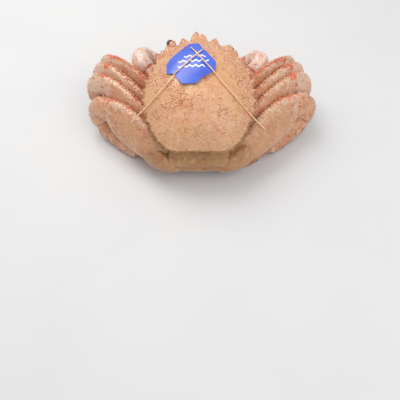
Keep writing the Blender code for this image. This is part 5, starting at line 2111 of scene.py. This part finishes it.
@dataclass(frozen=True)
class Underside:
    """The body below the shell, the flap of the abdomen, and the rearmost legs' bases (coxa) beside it.

    The flap's rings are (y, z, half width, half thickness) in the body's frame, and a base's stations are
    (x, y, z, half width, half height) in the crab's.
    """

    dome: Dome
    flap_rings: Table = (
        (-48.5, -6.9, 23.0, 1.5), (-54.5, -10.5, 25.8, 2.8), (-59.2, -19.0, 25.4, 3.8),
        (-58.6, -28.0, 22.0, 3.8), (-51.5, -34.2, 16.5, 3.2), (-38.0, -35.2, 11.0, 2.4),
        (-22.0, -34.4, 8.0, 2.0), (-6.0, -33.4, 3.0, 1.3),
    )
    grooves: tuple[float, ...] = (0.10, 0.21, 0.32, 0.44, 0.58, 0.74)
    coxa: Table = (
        (9, -46, 18, 8.0, 8.0), (21, -52.3, 18, 9.4, 9.6), (34, -50, 21, 9.5, 11.4),
        (44, -44.5, 26, 7.6, 11.5),
    )
    flap_tufts: int = 620
    body_tufts: int = 700

    def build(self, shop: Workshop, dice: random.Random) -> None:
        """Adds all of it with its bristles."""
        under = shop.finishes.under
        body = Thorax(self.dome)
        shop.add_skin(body, "thorax", under, Slot.UNDERSIDE)
        flap = LimbSkin(body_matrix(), (0.1, 0.1, 0.4), self.flap_stations(), LimbForm(
            (Ridge(0.0, 0.5, 0.05),), self.grooves, (0.65, 0.7), 0.8, 1.0, 1.0, 0.3, self.flap_tone
        ), 0.8)
        shop.add_skin(flap, "abdomen", under, Slot.UNDERSIDE)
        growth = Growth(dice)
        form = LimbForm(
            fullness=0.9, grooves=(0.62,), groove=(0.3, 1.4), round_start=6.0, round_end=5.0, wobble=0.5,
            tone=lambda u, v, rough: Tone(0.14 + 0.3 * rough, 0.35 * v, 0.0, 0.0, 0.0, 0.15),
        )
        for side in Side:
            cell = (0.1 if side is Side.RIGHT else 0.3, 0.6, 0.15)
            coxa = LimbSkin(crab_matrix(side), cell, chained([self.coxa])[0], form)
            shop.add(f"skin_coxa_{side.suffix}", coxa.shape(), under.skin, Slot.UNDERSIDE)
            growth.scatter(coxa, 30, 40, 0.02, 1.8)
        for _ in range(self.flap_tufts):
            middle = dice.uniform(-0.24, 0.24)
            edges = (0.25 + dice.uniform(-0.04, 0.04), 0.75 + dice.uniform(-0.04, 0.04))
            growth.tuft(flap.root(dice.choice((middle, *edges)), dice.uniform(0.04, 0.97)), 1.6, 3, 0.35)
        for _ in range(self.body_tufts):
            growth.tuft(body.root(dice.random(), dice.uniform(0.02, 0.6)), 1.6, 3, 0.4)
        growth.add_to(shop, "underside", Slot.UNDERSIDE, under)

    def flap_stations(self) -> list[Station]:
        """The flap's cross-sections, square to its curve."""
        centres = [Vector((0, y, z)) for y, z, _, _ in self.flap_rings]
        stations = []
        for k, (_, _, half_width, half_thick) in enumerate(self.flap_rings):
            before, _, after, _ = around(centres, k)
            upward = (after - before).cross(X_AXIS).normalized()
            stations.append(Station(centres[k], X_AXIS, upward, half_width, half_thick))
        return stations

    def flap_tone(self, u: float, v: float, rough: float) -> Tone:
        """The flap's tone: orange in patches along its furrows."""
        patch = hump(min(abs(u - 0.19), abs(u - 0.81)), 0.03) * hump((v * 8) % 1.0 - 0.5, 0.2)
        line = max(hump((v - place) * 90, 1.1) for place in self.grooves)
        stripes = 0.22 * (1 + math.sin(v * 235)) * (1 - ease(v, 0.3, 0.5))
        olive = 0.9 * hump(v, 0.05) + stripes
        return Tone(0.5 * patch + 0.2 * max(rough, 0.0), 0.2 + 0.4 * rough, olive, 0.35 * line, 0.0, 0.1)


@dataclass(frozen=True)
class TagAndElastic:
    """The tag on the crab's back, and the elastic that holds it.

    Left, right and tails are places on the dome that the elastic goes through from its knot. Its two ends are
    in the crab's frame. Cut is the size of the tag's cells.
    """

    dome: Dome
    thickness: float = 0.6
    lift: float = 1.3
    cut: float = 1.1
    left: tuple[Pair, ...] = (
        (-10.6, 13.3), (-18.9, 5.6), (-24.4, -1.6), (-33.0, -9.8), (-40.6, -14.8), (-44.6, -17.0),
    )
    right: tuple[Pair, ...] = (
        (4.7, 14.2), (11.9, 6.1), (18.3, -2.6), (24.8, -9.6), (31.4, -15.8), (37.6, -20.4), (42.0, -23.0),
    )
    tails: tuple[Pair, ...] = ((-7.0, 31.4), (2.8, 27.6))
    left_end: Triple = (-56.9, -29.4, 42.7)
    right_end: Triple = (56.3, -34.9, 40.8)
    half_width: float = 0.60
    half_height: float = 0.46
    step: float = 2.5

    def build(self, shop: Workshop) -> None:
        """Adds the tag and the elastic."""
        self.build_tag(shop)
        self.build_elastic(shop)

    def build_tag(self, shop: Workshop) -> None:
        """Adds the tag, a sheet cut into small cells and bent over the shell."""
        sheet = bmesh.new()
        sheet.faces.new([sheet.verts.new((x, y, 0)) for x, y in TAG_OUTLINE])
        low = [min(row[axis] for row in TAG_OUTLINE) for axis in (0, 1)]
        high = [max(row[axis] for row in TAG_OUTLINE) for axis in (0, 1)]
        for axis, normal in enumerate((X_AXIS, Y_AXIS)):
            for k in range(1, math.ceil((high[axis] - low[axis]) / self.cut)):
                geometry = sheet.verts[:] + sheet.edges[:] + sheet.faces[:]
                place = normal * (low[axis] + k * self.cut)
                bmesh.ops.bisect_plane(sheet, geom=geometry, plane_co=place, plane_no=normal)
        unwrap = sheet.loops.layers.uv.new("flat")
        for face in sheet.faces:
            for loop in face.loops:
                loop[unwrap].uv = [
                    (loop.vert.co[axis] - low[axis]) / (high[axis] - low[axis]) for axis in (0, 1)
                ]
        made = bmesh.ops.extrude_face_region(sheet, geom=sheet.faces[:])["geom"]
        raised = {item for item in made if isinstance(item, bmesh.types.BMVert)}
        for vert in sheet.verts:
            height = SHELL_DOME * (1 - self.dome.share(*vert.co.xy) ** SHELL_DOME_POWER) + self.lift
            vert.co.z = height + (self.thickness if vert in raised else 0.0)
        edges = [edge for edge in sheet.edges if edge.is_manifold and edge.calc_face_angle(0.0) > 1.0]
        bmesh.ops.bevel(
            sheet, geom=edges, offset=0.12, offset_type="OFFSET", affect="EDGES", segments=2, profile=0.5,
            material=-1,
        )
        sheet.verts.layers.float.new("edge")
        bmesh.ops.transform(sheet, matrix=body_matrix(), verts=sheet.verts)
        bmesh.ops.recalc_face_normals(sheet, faces=sheet.faces)
        shop.add("tag_sheet", sheet, shop.finishes.tag, Slot.TAG, "tag")

    def over(self, *places: Pair) -> list[Vector]:
        """Points a short step apart over the tag and the shell, through these places."""
        points = []
        for (x0, y0), (x1, y1) in zip(places, places[1:]):
            count = max(1, round(math.hypot(x1 - x0, y1 - y0) / self.step))
            points += [(x0 + (x1 - x0) * k / count, y0 + (y1 - y0) * k / count) for k in range(count)]
        points.append(places[-1])
        return [self.dome.on(x, y, 2.5 if inside(x, y, TAG_OUTLINE) else 1.7) for x, y in points]

    def build_elastic(self, shop: Workshop) -> None:
        """Adds the elastic's strands, which cross on the tag and go down between the shell and the legs."""
        to_body = (crab_matrix().inverted() @ body_matrix()).inverted()
        strands = [
            self.over(KNOT, *self.left) + [to_body @ Vector(self.left_end)],
            self.over(KNOT, *self.right) + [to_body @ Vector(self.right_end)],
            *[self.over(KNOT, tail) for tail in self.tails],
        ]
        ridges = (Ridge(0.0, 0.1, 0.06), Ridge(0.5, 0.1, 0.06))
        form = LimbForm(ridges, fullness=0.9, round_start=0.3, round_end=0.3, wobble=0.12)
        whole = bmesh.new()
        for points in strands:
            stations = []
            for k, point in enumerate(points):
                along = (points[min(k + 1, len(points) - 1)] - points[max(k - 1, 0)]).normalized()
                across = along.cross(Z_AXIS).normalized()
                turn = Matrix.Rotation(k * 0.5, 3, along)
                upward = turn @ across.cross(along)
                stations.append(Station(point, turn @ across, upward, self.half_width, self.half_height))
            strand = LimbSkin(body_matrix(), (0, 0, 1), stations, form, 0.3).shape()
            mesh = bpy.data.meshes.new("strand")
            strand.to_mesh(mesh)
            strand.free()
            whole.from_mesh(mesh)
        for k in range(3):
            place = body_matrix() @ Matrix.Translation(self.dome.on(*KNOT, 2.7 + 0.25 * k))
            matrix = place @ Matrix.Rotation(k * 1.1, 4, "Z") @ Matrix.Diagonal((1.25, 0.8, 0.65, 1.0))
            bmesh.ops.create_uvsphere(whole, u_segments=24, v_segments=16, radius=1.0, matrix=matrix)
        shop.add("elastic_strands", whole, shop.finishes.elastic, Slot.ELASTIC, "elastic")


@dataclass(frozen=True)
class Studio:
    """The pale floor, the soft lights and the camera."""

    eye: Triple = (-0.0004, -0.298, 0.338)
    pitch: float = math.radians(33)
    lens: float = 41.7
    sensor: float = 36.0
    daylight: float = 0.64

    def build(self, finishes: Finishes) -> None:
        """Adds all of it to the scene."""
        scene = bpy.context.scene
        floor = bmesh.new()
        bmesh.ops.create_grid(floor, x_segments=8, y_segments=8, size=1.5)
        mesh = bpy.data.meshes.new("floor")
        floor.to_mesh(mesh)
        floor.free()
        mesh.materials.append(finishes.floor)
        piece = bpy.data.objects.new("floor", mesh)
        scene.collection.objects.link(piece)
        self.light("key", (-0.30, 0.35, 0.75), 0.55, 3.9, (1.0, 0.98, 0.95))
        self.light("fill", (0.45, -0.35, 0.60), 0.70, 1.9, (0.95, 0.97, 1.0))
        scene.world = bpy.data.worlds.new("studio")
        scene.world.use_nodes = True
        graph = Graph(scene.world.node_tree)
        up = graph.node("SeparateXYZ", {0: graph.node("TexCoord").outputs["Generated"]}).outputs[2]
        colour = graph.mix(graph.ramp(up, -0.1, 0.9), (0.86, 0.87, 0.90, 1.0), (1.0, 1.0, 1.0, 1.0))
        graph.feed(graph.tree.nodes["Background"], {0: colour, 1: self.daylight})
        camera = bpy.data.objects.new("camera", bpy.data.cameras.new("camera"))
        scene.collection.objects.link(camera)
        camera.location = self.eye
        camera.rotation_euler = (self.pitch, 0.0, 0.0)
        camera.data.lens = self.lens
        camera.data.sensor_width = self.sensor
        scene.camera = camera
        scene.view_settings.view_transform = "Standard"

    @staticmethod
    def light(name: str, place: Triple, size: float, power: float, colour: Triple) -> None:
        """Adds a soft square light that points at the crab, with its side in metres and power in watts."""
        lamp = bpy.data.objects.new(name, bpy.data.lights.new(name, "AREA"))
        lamp.data.size = size
        lamp.data.energy = power
        lamp.data.color = colour
        lamp.location = place
        lamp.rotation_euler = (Vector((0, 0, 0.04)) - Vector(place)).to_track_quat("-Z", "Y").to_euler()
        bpy.context.scene.collection.objects.link(lamp)


def main() -> None:
    """Builds the crab in its studio."""
    logging.basicConfig(level=logging.INFO)
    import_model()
    dice = random.Random(SEED)
    shop = Workshop(Finishes())
    dome = Dome()
    for assembly in (Carapace(dome), Underside(dome), Head(), WalkingLegs(), Claws()):
        assembly.build(shop, dice)
    TagAndElastic(dome).build(shop)
    Studio().build(shop.finishes)
    LOG.info("all: %d triangles", shop.triangles)


if __name__ == "__main__":
    main()
